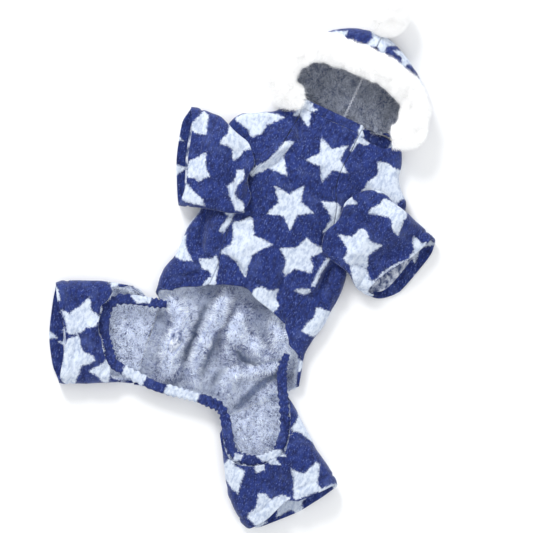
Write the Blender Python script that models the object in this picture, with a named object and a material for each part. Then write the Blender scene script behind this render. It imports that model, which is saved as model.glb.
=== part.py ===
"""A hooded fleece jumpsuit for a small dog, laid flat on its back panel with the belly side up.

Metres, +Z up. The spine runs along Y, with the hood towards +Y. Left is the -X side.
Tables hold shares of the named sizes, one row for each section, edge station or fold.
"""

import math

import bmesh
import bpy
import numpy as np

# Cloth and clearances
CLOTH = 0.0025
SEAM_GAP = 0.0003
PANEL_GAP = 0.0013

# Body
BODICE_LENGTH = 0.200
RUMP_LENGTH = 0.120
CHEST_HALF_WIDTH = 0.100
CROWN_HEIGHT = 0.030
SIDE_RADIUS = 0.009
NECK_BAND_WIDTH = 0.009
ARMHOLE_SPAN = 0.34

# Share of the back panel's grid that curls up at the crotch
BACK_CURL_SHARE = 0.07
# Height, as a share of the side's radius, over which the heaps on the rump's floor fade out
FLOOR_FADES = 0.2
# How fast the heaps rise from the chest hem on, and how fast the folds fade towards the sides
HEAPS_RISE = 6
FOLDS_FADE = 4
# Turn from which the side's cloth runs on flat over the top
TAIL_STARTS = 0.9

# Front leg tubes
SLEEVE_LENGTH = 0.080
SLEEVE_CUFF_HALF_WIDTH = 0.050
SLEEVE_HEIGHT = 0.021
SLEEVE_ROOT_HEIGHT = 0.008
SLEEVE_DROP = 0.034
LIE_GAP = 0.0012
# Where the sleeve's height is full, and where its wall gives way to its top layer
SLEEVE_FULL_AT = 0.8
SLEEVE_WALL = 0.10
SLEEVE_WALL_FADES = 0.90
# Place of the root and direction. Columns: across, along, degrees.
SLEEVE_LEFT_PLACE = (-0.46, 0.50, 199)
SLEEVE_RIGHT_PLACE = (0.52, 0.51, -9)

# Hind leg tubes
LEG_LENGTH = 0.100
LEG_CUFF_HALF_WIDTH = 0.050
LEG_HEIGHT = 0.024
LEG_SEAM_GAP = 0.0010
LEG_FULL_AT = 1.0
LEG_WALL = 0.40
LEG_WALL_FADES = 0.12
LEG_LEFT_DEGREES = 202.5
LEG_RIGHT_DEGREES = -42
# Seams to the rump, from and to, along the spine
LEFT_SEAM = (-0.46, -1.0)
RIGHT_SEAM = (-0.62, -1.0)

# Section of a leg tube that lies flat, as shares of its half width and its height
TUBE_SIDE = 0.24
TUBE_CROWN = 0.10

# Gathered elastic round the belly opening
ELASTIC_WIDTH = 0.012
ELASTIC_HEIGHT = 0.006
ELASTIC_GATHER = 0.011
ELASTIC_CLEAR = 0.0008
ELASTIC_GATHER_DEPTH = 0.18
# Size of the first section at each end, and how much each next one gains
ELASTIC_END = 0.60
ELASTIC_END_GAIN = 0.20
# Its way round the opening: across and along the body, across each leg, and round the rump
ELASTIC_STARTS = ((-0.68, -0.37),)
ELASTIC_LEFT_ACROSS = (0.64, 0.46, 0.20, -0.10, -0.38, -0.62)
ELASTIC_REAR_ROUND = (-0.72, -0.40, -0.05, 0.30, 0.60)
ELASTIC_REAR_ASIDE = 0.1
ELASTIC_RIGHT_ACROSS = (-0.66, -0.42, -0.10, 0.24, 0.46, 0.60)
ELASTIC_STOPS = ((0.70, -0.56), (0.64, -0.44), (0.62, -0.32))

# Hood, its fur and its pompom
HOOD_RADIUS = 0.080
HOOD_RISE = 0.030
HOOD_TURN = 0.016
# Share of the way out from the middle that is flat, and the corner and bulge of the turned edge
HOOD_FLOOR = 0.5
HOOD_CORNER = 0.25
HOOD_BULGE = 0.9
# Share of the rise at which the edge counts as turned up
HOOD_CURLS = 0.2
TRIM_RADIUS = 0.0105
TRIM_LOCK = 0.0018
TRIM_FLATTEN = 0.92
TRIM_END = 0.70
TRIM_END_GAIN = 0.10
POMPOM_RADIUS = 0.020
POMPOM_LOCK = 0.0022
# Locks of the pompom: one in so many points, on its side away from the hood
POMPOM_LOCK_EVERY = 3
POMPOM_LOCKS_FROM = -0.4
# Part of the hood's edge, in degrees, that the pompom touches
POMPOM_SEAT = (70, 116)

# Grids: columns or points round, then rows or points along
BACK_GRID = (29, 26)
CURL_ROWS = (0.33, 0.67, 1.0)
CHEST_GRID = (14, 21)
BAND_GRID = (14, 3)
TUBE_GRID = (26, 10)
ELASTIC_GRID = (7, 73)
TRIM_GRID = (8, 45)
HOOD_COLUMNS = 17
HOOD_STATIONS = (0.0, 0.25, 0.5, 0.60, 0.70, 0.80, 0.90, 1.0)
SEAT_COLUMNS = 24

# Folds
FOLD_HEIGHT = 0.005
FOLD_WIDTH = 0.008

# Body sections from the neck (1) past the chest hem (0) to the crotch (-1).
# Columns: along, floor's left end, floor's right end, crown, left turn, right turn,
# left edge, right edge. The ends and edges are shares of the chest's half width.
BODY_SECTIONS = (
    (1.00, -0.36, 0.68, 0.80, 1.00, 1.00, -0.31, 0.36),
    (0.90, -0.40, 0.78, 0.84, 1.00, 1.00, -0.28, 0.35),
    (0.85, -0.54, 0.80, 0.90, 1.00, 1.00, -0.29, 0.35),
    (0.80, -0.72, 0.86, 0.96, 1.00, 1.00, -0.30, 0.34),
    (0.74, -0.79, 0.98, 1.00, 1.00, 1.00, -0.31, 0.34),
    (0.66, -0.80, 1.02, 1.00, 1.00, 1.00, -0.36, 0.37),
    (0.57, -0.78, 0.95, 0.98, 1.00, 1.00, -0.45, 0.46),
    (0.46, -0.76, 0.80, 0.96, 1.00, 1.00, -0.49, 0.52),
    (0.36, -0.72, 0.70, 0.94, 1.00, 1.00, -0.47, 0.58),
    (0.28, -0.69, 0.75, 0.94, 1.00, 1.00, -0.44, 0.59),
    (0.16, -0.73, 0.76, 0.92, 1.00, 1.00, -0.42, 0.57),
    (0.04, -0.72, 0.75, 0.90, 1.00, 1.00, -0.38, 0.51),
    (-0.05, -0.75, 0.73, 0.88, 1.00, 1.00, -0.38, 0.47),
    (-0.12, -0.77, 0.71, 0.84, 1.00, 1.00, -0.46, 0.49),
    (-0.18, -0.77, 0.70, 0.82, 1.00, 1.00, -0.60, 0.55),
    (-0.24, -0.76, 0.69, 0.80, 1.00, 1.00, -0.68, 0.60),
    (-0.30, -0.75, 0.70, 0.76, 0.60, 0.84, -0.68, 0.63),
    (-0.36, -0.74, 0.72, 0.75, 0.10, 0.72, -0.67, 0.64),
    (-0.42, -0.73, 0.74, 0.74, 0.00, 0.68, -0.66, 0.64),
    (-0.50, -0.72, 0.77, 0.72, 0.00, 0.60, -0.63, 0.68),
    (-0.57, -0.71, 0.79, 0.72, 0.00, 0.10, -0.62, 0.70),
    (-0.66, -0.70, 0.70, 0.72, 0.00, 0.00, -0.61, 0.61),
    (-0.78, -0.68, 0.58, 0.72, 0.00, 0.00, -0.59, 0.49),
    (-0.90, -0.66, 0.45, 0.72, 0.00, 0.00, -0.57, 0.36),
    (-1.00, -0.64, 0.34, 0.72, 0.00, 0.00, -0.55, 0.25),
)
SECTION_COLUMNS = (
    "along",
    "left",
    "right",
    "crown",
    "left_turn",
    "right_turn",
    "left_edge",
    "right_edge",
)

# How far the neck's edge drops below the neck line, round from the spine (0) to the seams.
# Columns: round, drop. Drops are shares of the bodice's length.
NECK_DROP_LEFT = ((0.00, 0.00), (0.45, 0.00), (0.62, 0.09), (0.80, 0.10), (1.00, 0.03))
NECK_DROP_RIGHT = (
    (0.00, 0.00),
    (0.50, 0.00),
    (0.60, 0.02),
    (0.70, 0.02),
    (0.82, 0.06),
    (0.92, 0.06),
    (1.00, 0.02),
)
NECK_DROP_FADES = 0.26

# The chest panel's hem, from its left seam (0) to its right (1). Columns: across, along.
CHEST_HEM = ((0.00, -0.07), (0.22, 0.00), (0.40, 0.02), (0.60, -0.02), (0.80, -0.05), (1.00, -0.10))
CHEST_SPAN = (-0.06, 0.955)

# The rump's lower edge, left to right. Columns: across, along past the crotch line.
CROTCH_EDGE = (
    (0.00, 0.02),
    (0.15, -0.03),
    (0.35, -0.06),
    (0.60, -0.10),
    (0.80, -0.10),
    (1.00, 0.00),
)
CROTCH_FADES = 0.30
CROTCH_TURN = 0.66

# Folds lie along straight lines. Columns: across, along, across, along, height, width.
CHEST_FOLDS = (
    (-0.22, 0.78, -0.50, 0.56, 0.60, 0.80),
    (-0.71, 0.30, -0.66, 0.08, -0.70, 0.60),
    (-0.56, 0.32, -0.55, 0.10, 0.80, 1.30),
    (-0.66, 0.00, -0.82, -0.20, 0.70, 1.40),
    (-0.33, 0.12, -0.09, 0.06, -0.50, 0.80),
    (0.62, 0.33, 0.58, 0.17, 0.60, 0.70),
    (0.28, 0.16, 0.28, 0.03, -0.60, 0.90),
    (0.42, 0.12, 0.57, 0.15, 0.50, 0.70),
    (0.17, 0.71, 0.25, 0.66, -0.50, 0.60),
    (0.60, 0.86, 0.66, 0.94, 0.60, 1.20),
    (0.46, 0.94, 0.52, 0.84, -0.60, 0.90),
    (-0.40, 0.66, -0.16, 0.50, 0.40, 1.50),
    (0.20, 0.52, 0.44, 0.40, 0.45, 1.40),
    (-0.10, 0.36, 0.20, 0.24, -0.40, 1.60),
)
RUMP_FOLDS = (
    (-0.63, -0.34, -0.44, -0.60, 1.10, 1.10),
    (-0.44, -0.60, -0.42, -0.88, 1.20, 1.00),
    (-0.60, -0.50, -0.62, -0.80, 0.60, 1.30),
    (-0.16, -0.04, -0.17, -0.84, 1.30, 0.70),
    (-0.03, -0.40, 0.32, -0.44, 0.80, 0.80),
    (-0.02, -0.36, 0.12, -0.70, 0.70, 0.80),
    (0.30, -0.40, 0.58, -0.46, 0.90, 1.10),
    (0.55, -0.60, 0.46, -0.84, 0.80, 0.80),
    (0.10, -0.20, 0.24, -0.34, 0.50, 1.40),
)

# Tubes of the legs. SIDES columns: along, share of the cuff's width, front, rear.
# EDGE columns: across (-1 rear to 1 front), along.
SLEEVE_LEFT_SIDES = (
    (0.00, 0.00, 1.12, -0.92),
    (0.20, 0.40, 1.22, -0.80),
    (0.45, 0.80, 1.36, -0.64),
    (0.70, 1.00, 1.38, -0.60),
    (1.00, 1.00, 1.46, -0.58),
)
SLEEVE_LEFT_CUFF_TOP = ((-1.00, 0.82), (-0.50, 0.76), (0.00, 0.77), (0.50, 0.76), (1.00, 0.80))
SLEEVE_LEFT_CUFF_BOTTOM = ((-1.00, 0.84), (-0.60, 0.88), (0.00, 0.92), (0.60, 0.90), (1.00, 0.80))

SLEEVE_RIGHT_SIDES = (
    (0.00, 0.00, 1.12, -0.94),
    (0.20, 0.40, 1.22, -0.86),
    (0.45, 0.80, 1.02, -0.76),
    (0.70, 1.00, 0.94, -0.88),
    (1.00, 1.00, 0.86, -0.82),
    (1.20, 1.00, 0.80, -0.70),
)
SLEEVE_RIGHT_CUFF_TOP = (
    (-1.00, 0.78),
    (-0.60, 0.82),
    (-0.20, 0.90),
    (0.20, 1.00),
    (0.60, 1.06),
    (1.00, 1.10),
)
SLEEVE_RIGHT_CUFF_BOTTOM = ((-1.00, 0.98), (-0.60, 1.14), (0.00, 1.18), (0.60, 1.20), (1.00, 1.16))

SLEEVE_ROOT_TOP = ((-1.00, 0.02), (-0.50, -0.05), (0.00, 0.00), (0.50, -0.05), (1.00, 0.02))
SLEEVE_ROOT_BOTTOM = ((-1.00, 0.10), (0.00, 0.13), (1.00, 0.10))

LEG_LEFT_SIDES = (
    (0.00, 0.00, 1.00, -0.98),
    (0.12, 0.30, 1.22, -0.93),
    (0.24, 0.50, 1.25, -0.89),
    (0.45, 0.80, 1.25, -0.86),
    (0.62, 1.00, 1.21, -0.87),
    (0.78, 1.00, 1.20, -0.88),
    (1.00, 1.00, 1.12, -0.86),
)
LEG_LEFT_CUFF_TOP = (
    (-1.00, 0.87),
    (-0.60, 0.85),
    (-0.15, 0.82),
    (0.25, 0.86),
    (0.60, 0.92),
    (1.00, 0.95),
)
LEG_LEFT_CUFF_BOTTOM = ((-1.00, 0.88), (-0.60, 0.96), (0.00, 1.00), (0.60, 0.98), (1.00, 0.95))
LEG_LEFT_ELASTIC = (
    (-1.00, 0.24),
    (-0.85, 0.30),
    (-0.60, 0.34),
    (-0.30, 0.40),
    (0.10, 0.45),
    (0.40, 0.44),
    (0.60, 0.37),
    (0.84, 0.30),
    (1.00, 0.14),
)

LEG_RIGHT_SIDES = (
    (0.00, 0.00, 0.80, -1.04),
    (0.25, 0.50, 0.80, -1.06),
    (0.47, 0.80, 0.78, -1.12),
    (0.62, 1.00, 0.77, -1.16),
    (0.75, 1.00, 0.81, -1.22),
    (0.95, 1.00, 0.88, -1.20),
    (1.17, 1.00, 0.84, -1.10),
)
LEG_RIGHT_CUFF_TOP = (
    (-1.00, 1.13),
    (-0.60, 1.11),
    (-0.30, 1.06),
    (-0.02, 1.01),
    (0.20, 1.06),
    (0.60, 1.06),
    (1.00, 1.05),
)
LEG_RIGHT_CUFF_BOTTOM = ((-1.00, 1.06), (-0.80, 1.16), (0.00, 1.17), (0.50, 1.14), (1.00, 1.09))
LEG_RIGHT_ELASTIC = (
    (-1.00, 0.18),
    (-0.80, 0.34),
    (-0.55, 0.46),
    (-0.10, 0.54),
    (0.25, 0.52),
    (0.48, 0.40),
    (0.66, 0.26),
    (0.84, 0.14),
    (1.00, 0.05),
)

# Folds of the tubes. Columns: along, across, along, across, height, width.
SLEEVE_LEFT_FOLDS = (
    (0.06, -0.50, 0.04, 0.20, 0.80, 0.60),
    (0.20, 0.75, 0.60, 0.30, 0.70, 1.00),
    (0.25, -0.30, 0.60, -0.50, -0.60, 0.90),
)
SLEEVE_RIGHT_FOLDS = (
    (0.05, 0.10, 0.30, 0.30, -0.50, 1.00),
    (0.35, -0.60, 0.75, -0.20, 0.60, 0.90),
    (0.30, 0.60, 0.90, 0.50, 0.50, 1.20),
)
LEG_LEFT_FOLDS = (
    (0.62, -0.90, 0.74, -0.10, -0.60, 0.60),
    (0.50, 0.50, 0.80, 0.80, 0.60, 1.10),
    (0.45, -0.40, 0.70, -0.60, 0.50, 0.90),
)
LEG_RIGHT_FOLDS = (
    (0.62, 0.10, 0.98, -0.10, -0.90, 0.70),
    (0.60, 0.60, 1.00, 0.70, 0.50, 1.20),
    (0.52, -0.20, 0.60, -0.50, 0.70, 0.80),
    (0.65, -0.60, 0.95, -0.40, 0.50, 1.00),
)

# The hood's mouth and outline round its middle. Columns: degrees, outer, edge, lift, lean.
# Outer and edge are shares of the hood's radius, lift of its rise, lean is in degrees.
HOOD_OUTLINE = (
    (-90, 0.33, 0.33, 0.00, 90),
    (-40, 0.51, 0.51, 0.00, 90),
    (-26, 0.74, 0.72, 0.30, 96),
    (-8, 0.94, 0.88, 0.36, 80),
    (14, 0.92, 0.84, 0.50, 60),
    (40, 0.82, 0.68, 0.80, 40),
    (66, 0.79, 0.60, 0.96, 25),
    (90, 0.83, 0.57, 1.00, 20),
    (114, 0.83, 0.60, 0.96, 25),
    (136, 0.84, 0.70, 0.84, 35),
    (158, 0.92, 0.86, 0.56, 60),
    (180, 1.01, 0.97, 0.40, 80),
    (190, 0.98, 0.95, 0.36, 95),
    (200, 0.84, 0.84, 0.34, 118),
    (208, 0.66, 0.67, 0.28, 128),
    (214, 0.54, 0.54, 0.00, 128),
    (232, 0.42, 0.42, 0.00, 90),
    (270, 0.33, 0.33, 0.00, 90),
)
HOOD_CENTRE = (0.14, 0.027)
TRIM_ENDS = (-26, 211)
POMPOM_ASIDE = -0.04

# Colours, linear
NAVY = (0.030, 0.055, 0.260)
PALE = (0.560, 0.620, 0.760)
LINING = (0.150, 0.180, 0.270)
WHITE = (0.930, 0.930, 0.930)


def clear_scene():
    for found in list(bpy.data.objects):
        bpy.data.objects.remove(found, do_unlink=True)


def make_material(name, colour):
    material = bpy.data.materials.new(name)
    material.use_nodes = True
    shader = material.node_tree.nodes["Principled BSDF"]
    shader.inputs["Base Color"].default_value = (*colour, 1.0)
    shader.inputs["Roughness"].default_value = 0.95
    shader.inputs["Metallic"].default_value = 0.0
    return material


def add_object(name, points, faces, colour):
    """One closed body, its faces turned outwards."""
    bm = bmesh.new()
    verts = [bm.verts.new(point) for point in points]
    for face in faces:
        bm.faces.new([verts[index] for index in face])
    bmesh.ops.triangulate(bm, faces=bm.faces)
    bmesh.ops.recalc_face_normals(bm, faces=bm.faces)
    if bm.calc_volume(signed=True) < 0:
        bmesh.ops.reverse_faces(bm, faces=bm.faces)
    mesh = bpy.data.meshes.new(name)
    bm.to_mesh(mesh)
    bm.free()
    mesh.shade_smooth()
    mesh.materials.append(make_material(name, colour))
    made = bpy.data.objects.new(name, mesh)
    bpy.context.scene.collection.objects.link(made)
    return made


def smooth_step(value):
    value = np.clip(value, 0.0, 1.0)
    return value * value * (3.0 - 2.0 * value)


def read_curve(table, at, column=1):
    """A smooth curve through the table's rows: cubic pieces that never pass the rows' own values."""
    rows = sorted(table)
    xs = np.array([row[0] for row in rows], float)
    ys = np.array([row[column] for row in rows], float)
    secants = np.diff(ys) / np.diff(xs)
    before = np.concatenate([secants[:1], secants])
    after = np.concatenate([secants, secants[-1:]])
    same = before * after > 0
    slopes = np.where(same, 2 * before * after / np.where(same, before + after, 1.0), 0.0)
    at = np.clip(at, xs[0], xs[-1])
    cell = np.clip(np.searchsorted(xs, at, side="right") - 1, 0, len(xs) - 2)
    width = xs[cell + 1] - xs[cell]
    t = (at - xs[cell]) / width
    return (
        (2 * t**3 - 3 * t**2 + 1) * ys[cell]
        + (t**3 - 2 * t**2 + t) * width * slopes[cell]
        + (3 * t**2 - 2 * t**3) * ys[cell + 1]
        + (t**3 - t**2) * width * slopes[cell + 1]
    )


def grid_faces(rows, columns, wrap=False):
    """Quads over a grid of points, joined round the columns where wrap is set."""
    faces = []
    for row in range(rows - 1):
        for column in range(columns if wrap else columns - 1):
            after = (column + 1) % columns
            here = row * columns
            above = here + columns
            faces.append((here + column, here + after, above + after, above + column))
    return faces


def surface_normals(surface, u, v, step=2e-3):
    """Unit normals of surface(u, v) by small differences."""
    across = surface(u + step, v) - surface(u - step, v)
    along = surface(u, v + step) - surface(u, v - step)
    normal = np.cross(across, along)
    length = np.linalg.norm(normal, axis=-1, keepdims=True)
    return normal / np.maximum(length, 1e-12)


def cloth_sheet(name, surface, u, v, colour, wrap=False, outward=1.0, pole=False):
    """A sheet of cloth: its outer face on surface(u, v), and its inner face one thickness inside."""
    uu, vv = np.meshgrid(u, v)
    outer = surface(uu, vv)
    inner = outer - CLOTH * outward * surface_normals(surface, uu, vv)
    rows, columns = uu.shape
    faces = grid_faces(rows, columns, wrap)
    points = [tuple(point) for point in outer.reshape(-1, 3)]
    inside = [tuple(point) for point in inner.reshape(-1, 3)]
    index = list(range(len(points)))
    if pole:
        index = [0 if at < columns else at for at in index]
    return add_object(name, *thick(points, inside, faces, index), colour)


def thick(points, inside, faces, index):
    """Joins the outer and the inner face along every open edge. index merges points that coincide."""
    count = len(points)
    faces = [tuple(dict.fromkeys(index[at] for at in face)) for face in faces]
    faces = [face for face in faces if len(face) > 2]
    edges = {}
    for face in faces:
        for first, second in zip(face, face[1:] + face[:1]):
            edges[(first, second)] = edges.get((first, second), 0) + 1
    open_edges = [edge for edge in edges if (edge[1], edge[0]) not in edges]
    closed = list(faces)
    closed += [tuple(at + count for at in reversed(face)) for face in faces]
    closed += [(second, first, first + count, second + count) for first, second in open_edges]
    used = sorted({at for face in closed for at in face})
    renumber = {at: place for place, at in enumerate(used)}
    everything = points + inside
    return [everything[at] for at in used], [tuple(renumber[at] for at in face) for face in closed]


def spine_y(along):
    """The spine's Y at a share: the bodice's length above the chest hem, the rump's below it."""
    return np.where(along >= 0, along * BODICE_LENGTH, along * RUMP_LENGTH)


def spine_share(y):
    return np.where(y >= 0, y / BODICE_LENGTH, y / RUMP_LENGTH)


def section(along, column):
    return read_curve(BODY_SECTIONS, along, SECTION_COLUMNS.index(column))


def fold_lift(x, y, folds):
    """Ridges and valleys along straight lines, fading out at their ends."""
    lift = np.zeros(np.broadcast(x, y).shape)
    for across_a, along_a, across_b, along_b, height, width in folds:
        ax = across_a * CHEST_HALF_WIDTH
        bx = across_b * CHEST_HALF_WIDTH
        ay = float(spine_y(along_a))
        by = float(spine_y(along_b))
        run = math.hypot(bx - ax, by - ay)
        tx = (bx - ax) / run
        ty = (by - ay) / run
        along = (x - ax) * tx + (y - ay) * ty
        aside = (x - ax) * ty - (y - ay) * tx
        past = np.maximum(np.maximum(-along, along - run), 0.0)
        reach = width * FOLD_WIDTH
        lift += height * FOLD_HEIGHT * np.exp(-(aside**2 + past**2) / (reach**2))
    return lift


def body_top(x, y):
    """Height of the body's outer face on its top side, without the turned sides."""
    along = spine_share(y)
    left = section(along, "left") * CHEST_HALF_WIDTH
    right = section(along, "right") * CHEST_HALF_WIDTH
    middle = (left + right) / 2
    from_middle = np.clip(np.abs(x - middle) / ((right - left) / 2), 0.0, 1.0)
    crown = section(along, "crown") * CROWN_HEIGHT - 2 * SIDE_RADIUS
    fade = smooth_step((1.0 - from_middle) * FOLDS_FADE)
    arch = crown * np.cos(from_middle * math.pi / 2) ** 2
    return 2 * SIDE_RADIUS + arch + fade * fold_lift(x, y, CHEST_FOLDS)


def side_reach(along, side):
    """Length of the cloth from the spine round to the panel's edge, on side -1 or 1."""
    name = "left" if side < 0 else "right"
    floor = side * section(along, name) * CHEST_HALF_WIDTH
    turn = np.clip(section(along, name + "_turn"), 0.0, 1.0)
    edge = side * section(along, name + "_edge") * CHEST_HALF_WIDTH
    tail = np.maximum(floor - edge, 0.0) * smooth_step((turn - TAIL_STARTS) / (1 - TAIL_STARTS))
    return floor + turn * math.pi * SIDE_RADIUS + tail


def wrapped_point(length, along, y, side):
    """The point that lies this far from the spine round the body, on side -1 or 1."""
    name = "left" if side < 0 else "right"
    floor = side * section(along, name) * CHEST_HALF_WIDTH
    angle = np.clip((length - floor) / SIDE_RADIUS, 0.0, math.pi)
    over = np.maximum(length - floor - math.pi * SIDE_RADIUS, 0.0)
    out = np.where(length < floor, length, floor + SIDE_RADIUS * np.sin(angle) - over)
    x = side * out
    turned = SIDE_RADIUS * (1 - np.cos(angle))
    top = body_top(x, y) - 2 * SIDE_RADIUS
    on_top = smooth_step((angle / math.pi - 0.5) * 2)
    return x, turned + top * on_top


def rump_floor(x, y, along):
    """Heaps of the inside's cloth on the rump's floor, flat along the seams to the hind legs."""
    left = section(along, "left") * CHEST_HALF_WIDTH
    right = section(along, "right") * CHEST_HALF_WIDTH
    inside = np.minimum(x - left, right - x) / (2 * SIDE_RADIUS)
    return smooth_step(inside) * smooth_step(-along * HEAPS_RISE) * np.maximum(fold_lift(x, y, RUMP_FOLDS), 0.0)


def back_surface(u, v):
    """u from -1 (left edge) over 0 (spine) to 1 (right edge), v from 0 (neck) to 1 (crotch edge)."""
    floor_part = 1 - BACK_CURL_SHARE
    along = 1 - 2 * np.clip(v / floor_part, -0.01, 1.0)
    curl = np.clip((v - floor_part) / BACK_CURL_SHARE, 0.0, 1.1)
    y = spine_y(along)
    round_share = np.abs(u)
    drop_left = read_curve(NECK_DROP_LEFT, round_share)
    drop_right = read_curve(NECK_DROP_RIGHT, round_share)
    drop = np.where(u < 0, drop_left, drop_right)
    fade = smooth_step((along - 1 + NECK_DROP_FADES) / NECK_DROP_FADES)
    y = y - drop * BODICE_LENGTH * fade
    at = spine_share(y)
    left_x, left_z = wrapped_point(round_share * side_reach(at, -1), at, y, -1)
    right_x, right_z = wrapped_point(round_share * side_reach(at, 1), at, y, 1)
    x = np.where(u < 0, left_x, right_x)
    z = np.where(u < 0, left_z, right_z)
    on_floor = smooth_step(1 - z / (FLOOR_FADES * SIDE_RADIUS))
    z = z + on_floor * rump_floor(x, y, at)
    edge = read_curve(CROTCH_EDGE, (u + 1) / 2) * RUMP_LENGTH
    y = y - edge * smooth_step((CROTCH_FADES - 1 - along) / CROTCH_FADES)
    angle = curl * math.pi * CROTCH_TURN
    y = y - SIDE_RADIUS * np.sin(angle)
    z = z + SIDE_RADIUS * (1 - np.cos(angle))
    return np.stack([x, y, z], axis=-1)


def make_back_panel():
    v_floor = 1 - BACK_CURL_SHARE
    columns, rows = BACK_GRID
    curl = v_floor + BACK_CURL_SHARE * np.array(CURL_ROWS)
    v = np.concatenate([np.linspace(0, v_floor, rows), curl])
    u = np.linspace(-1, 1, columns)
    return cloth_sheet("back_panel", back_surface, u, v, NAVY)


def chest_surface(u, v):
    """u from 0 (left seam) to 1 (right seam), v from 0 (neck band) to 1 (hem)."""
    hem = spine_y(read_curve(CHEST_HEM, u))
    neck = spine_y(CHEST_SPAN[1] + 0 * u)
    y = neck + v * (hem - neck)
    along = spine_share(y)
    left = section(along, "left_edge") * CHEST_HALF_WIDTH + PANEL_GAP
    right = section(along, "right_edge") * CHEST_HALF_WIDTH - PANEL_GAP
    x = left + u * (right - left)
    return np.stack([x, y, body_top(x, y)], axis=-1)


def make_chest_panel():
    u = np.linspace(0, 1, CHEST_GRID[0])
    v = np.linspace(0, 1, CHEST_GRID[1])
    return cloth_sheet("chest_panel", chest_surface, u, v, NAVY, outward=-1.0)


def band_surface(u, v):
    """The strip over the chest panel's top edge, u as on the chest panel, v from 0 (neck) to 1."""
    low = CHEST_SPAN[1] * BODICE_LENGTH + SEAM_GAP
    y = low + (1 - v) * NECK_BAND_WIDTH
    along = spine_share(y)
    left = section(along, "left_edge") * CHEST_HALF_WIDTH + PANEL_GAP
    right = section(along, "right_edge") * CHEST_HALF_WIDTH - PANEL_GAP
    x = left + u * (right - left)
    return np.stack([x, y, body_top(x, y)], axis=-1)


def make_neck_band():
    u = np.linspace(0, 1, BAND_GRID[0])
    v = np.linspace(0, 1, BAND_GRID[1])
    return cloth_sheet("neck_band", band_surface, u, v, NAVY, outward=-1.0)


def tube_section(u):
    """Shares of the half width and the height round a flat-lying tube.

    u runs from 0 (middle of the bottom) over 0.25 (front) and 0.5 (top) to 1.
    """
    half = 1 - np.abs(2 * (u % 1.0) - 1)
    front = np.where((u % 1.0) < 0.5, 1.0, -1.0)
    flat = 1 - TUBE_SIDE
    distance = half * (2 * flat + math.pi * TUBE_SIDE)
    angle = np.clip((distance - flat) / TUBE_SIDE, 0.0, math.pi)
    over = np.maximum(distance - flat - math.pi * TUBE_SIDE, 0.0)
    across = np.where(distance < flat, distance, flat + TUBE_SIDE * np.sin(angle) - over)
    rise = (1 - np.cos(angle)) / 2
    crown = TUBE_CROWN * np.cos(np.clip(across / flat, 0, 1) * math.pi / 2) ** 2
    return front * across, rise + np.where(over > 0, crown, 0.0)


def rest_height(x, y):
    """Height that a tube lies at: on the body's top, and then down past its side to the floor."""
    along = spine_share(y)
    left = section(along, "left") * CHEST_HALF_WIDTH
    right = section(along, "right") * CHEST_HALF_WIDTH
    outside = np.maximum(np.maximum(left - x, x - right), 0.0)
    return body_top(np.clip(x, left, right), y) * (1 - smooth_step(outside / SLEEVE_DROP))


def tube_plan(tube, along, across):
    """X and Y at shares along and across a tube."""
    turn = math.radians(tube["angle"])
    axis = (math.cos(turn), math.sin(turn))
    facing = 1 if axis[0] < 0 else -1
    share = np.clip(read_curve(tube["sides"], along, 1), 0, 1)
    half = tube["root_half"] + share * (tube["cuff_half"] - tube["root_half"])
    front = read_curve(tube["sides"], along, 2) * half
    rear = read_curve(tube["sides"], along, 3) * half
    lateral = (front + rear) / 2 + across * (front - rear) / 2
    x = tube["origin"][0] + axis[0] * along * tube["length"] + facing * axis[1] * lateral
    y = tube["origin"][1] + axis[1] * along * tube["length"] - facing * axis[0] * lateral
    return x, y


def tube_surface(tube):
    """The outer face of a leg tube, from its root (v = 0) to its cuff (v = 1)."""

    def surface(u, v):
        across, rise = tube_section(u)
        on_top = smooth_step((rise - tube["wall"]) / tube["wall_fades"])
        root = (1 - on_top) * tube["root_bottom"](across) + on_top * tube["root_top"](across)
        lifted = smooth_step(rise)
        cuff_bottom = read_curve(tube["cuff_bottom"], across)
        cuff_top = read_curve(tube["cuff_top"], across)
        cuff = (1 - lifted) * cuff_bottom + lifted * cuff_top
        along = root + v * (cuff - root)
        x, y = tube_plan(tube, along, across)
        gain = tube["height"] - tube["root_height"]
        height = tube["root_height"] + smooth_step(along / tube["full_at"]) * gain
        z = tube["base"](x, y) + height * rise
        for fold in tube["folds"]:
            z = z + lifted * tube_fold(along, across, fold)
        return np.stack([x, y, z], axis=-1)

    return surface


def tube_fold(along, across, fold):
    """A ridge on the tube's top, between two places given as along and across shares."""
    along_a, across_a, along_b, across_b, height, width = fold
    ta = (along_b - along_a) * LEG_LENGTH
    ca = (across_b - across_a) * LEG_CUFF_HALF_WIDTH
    run = math.hypot(ta, ca)
    da = (along - along_a) * LEG_LENGTH
    dc = (across - across_a) * LEG_CUFF_HALF_WIDTH
    lengthwise = (da * ta + dc * ca) / run
    sideways = (da * ca - dc * ta) / run
    past = np.maximum(np.maximum(-lengthwise, lengthwise - run), 0.0)
    return height * FOLD_HEIGHT * np.exp(-(sideways**2 + past**2) / (width * FOLD_WIDTH) ** 2)


def make_tube(name, tube):
    u = np.linspace(0, 1, TUBE_GRID[0] + 1)[:-1]
    v = np.linspace(0, 1, TUBE_GRID[1])
    surface = tube_surface(tube)
    return cloth_sheet(name, surface, u, v, NAVY, wrap=True, outward=tube["outward"])


def body_point(across, along):
    return np.array([across * CHEST_HALF_WIDTH, float(spine_y(along))])


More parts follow.
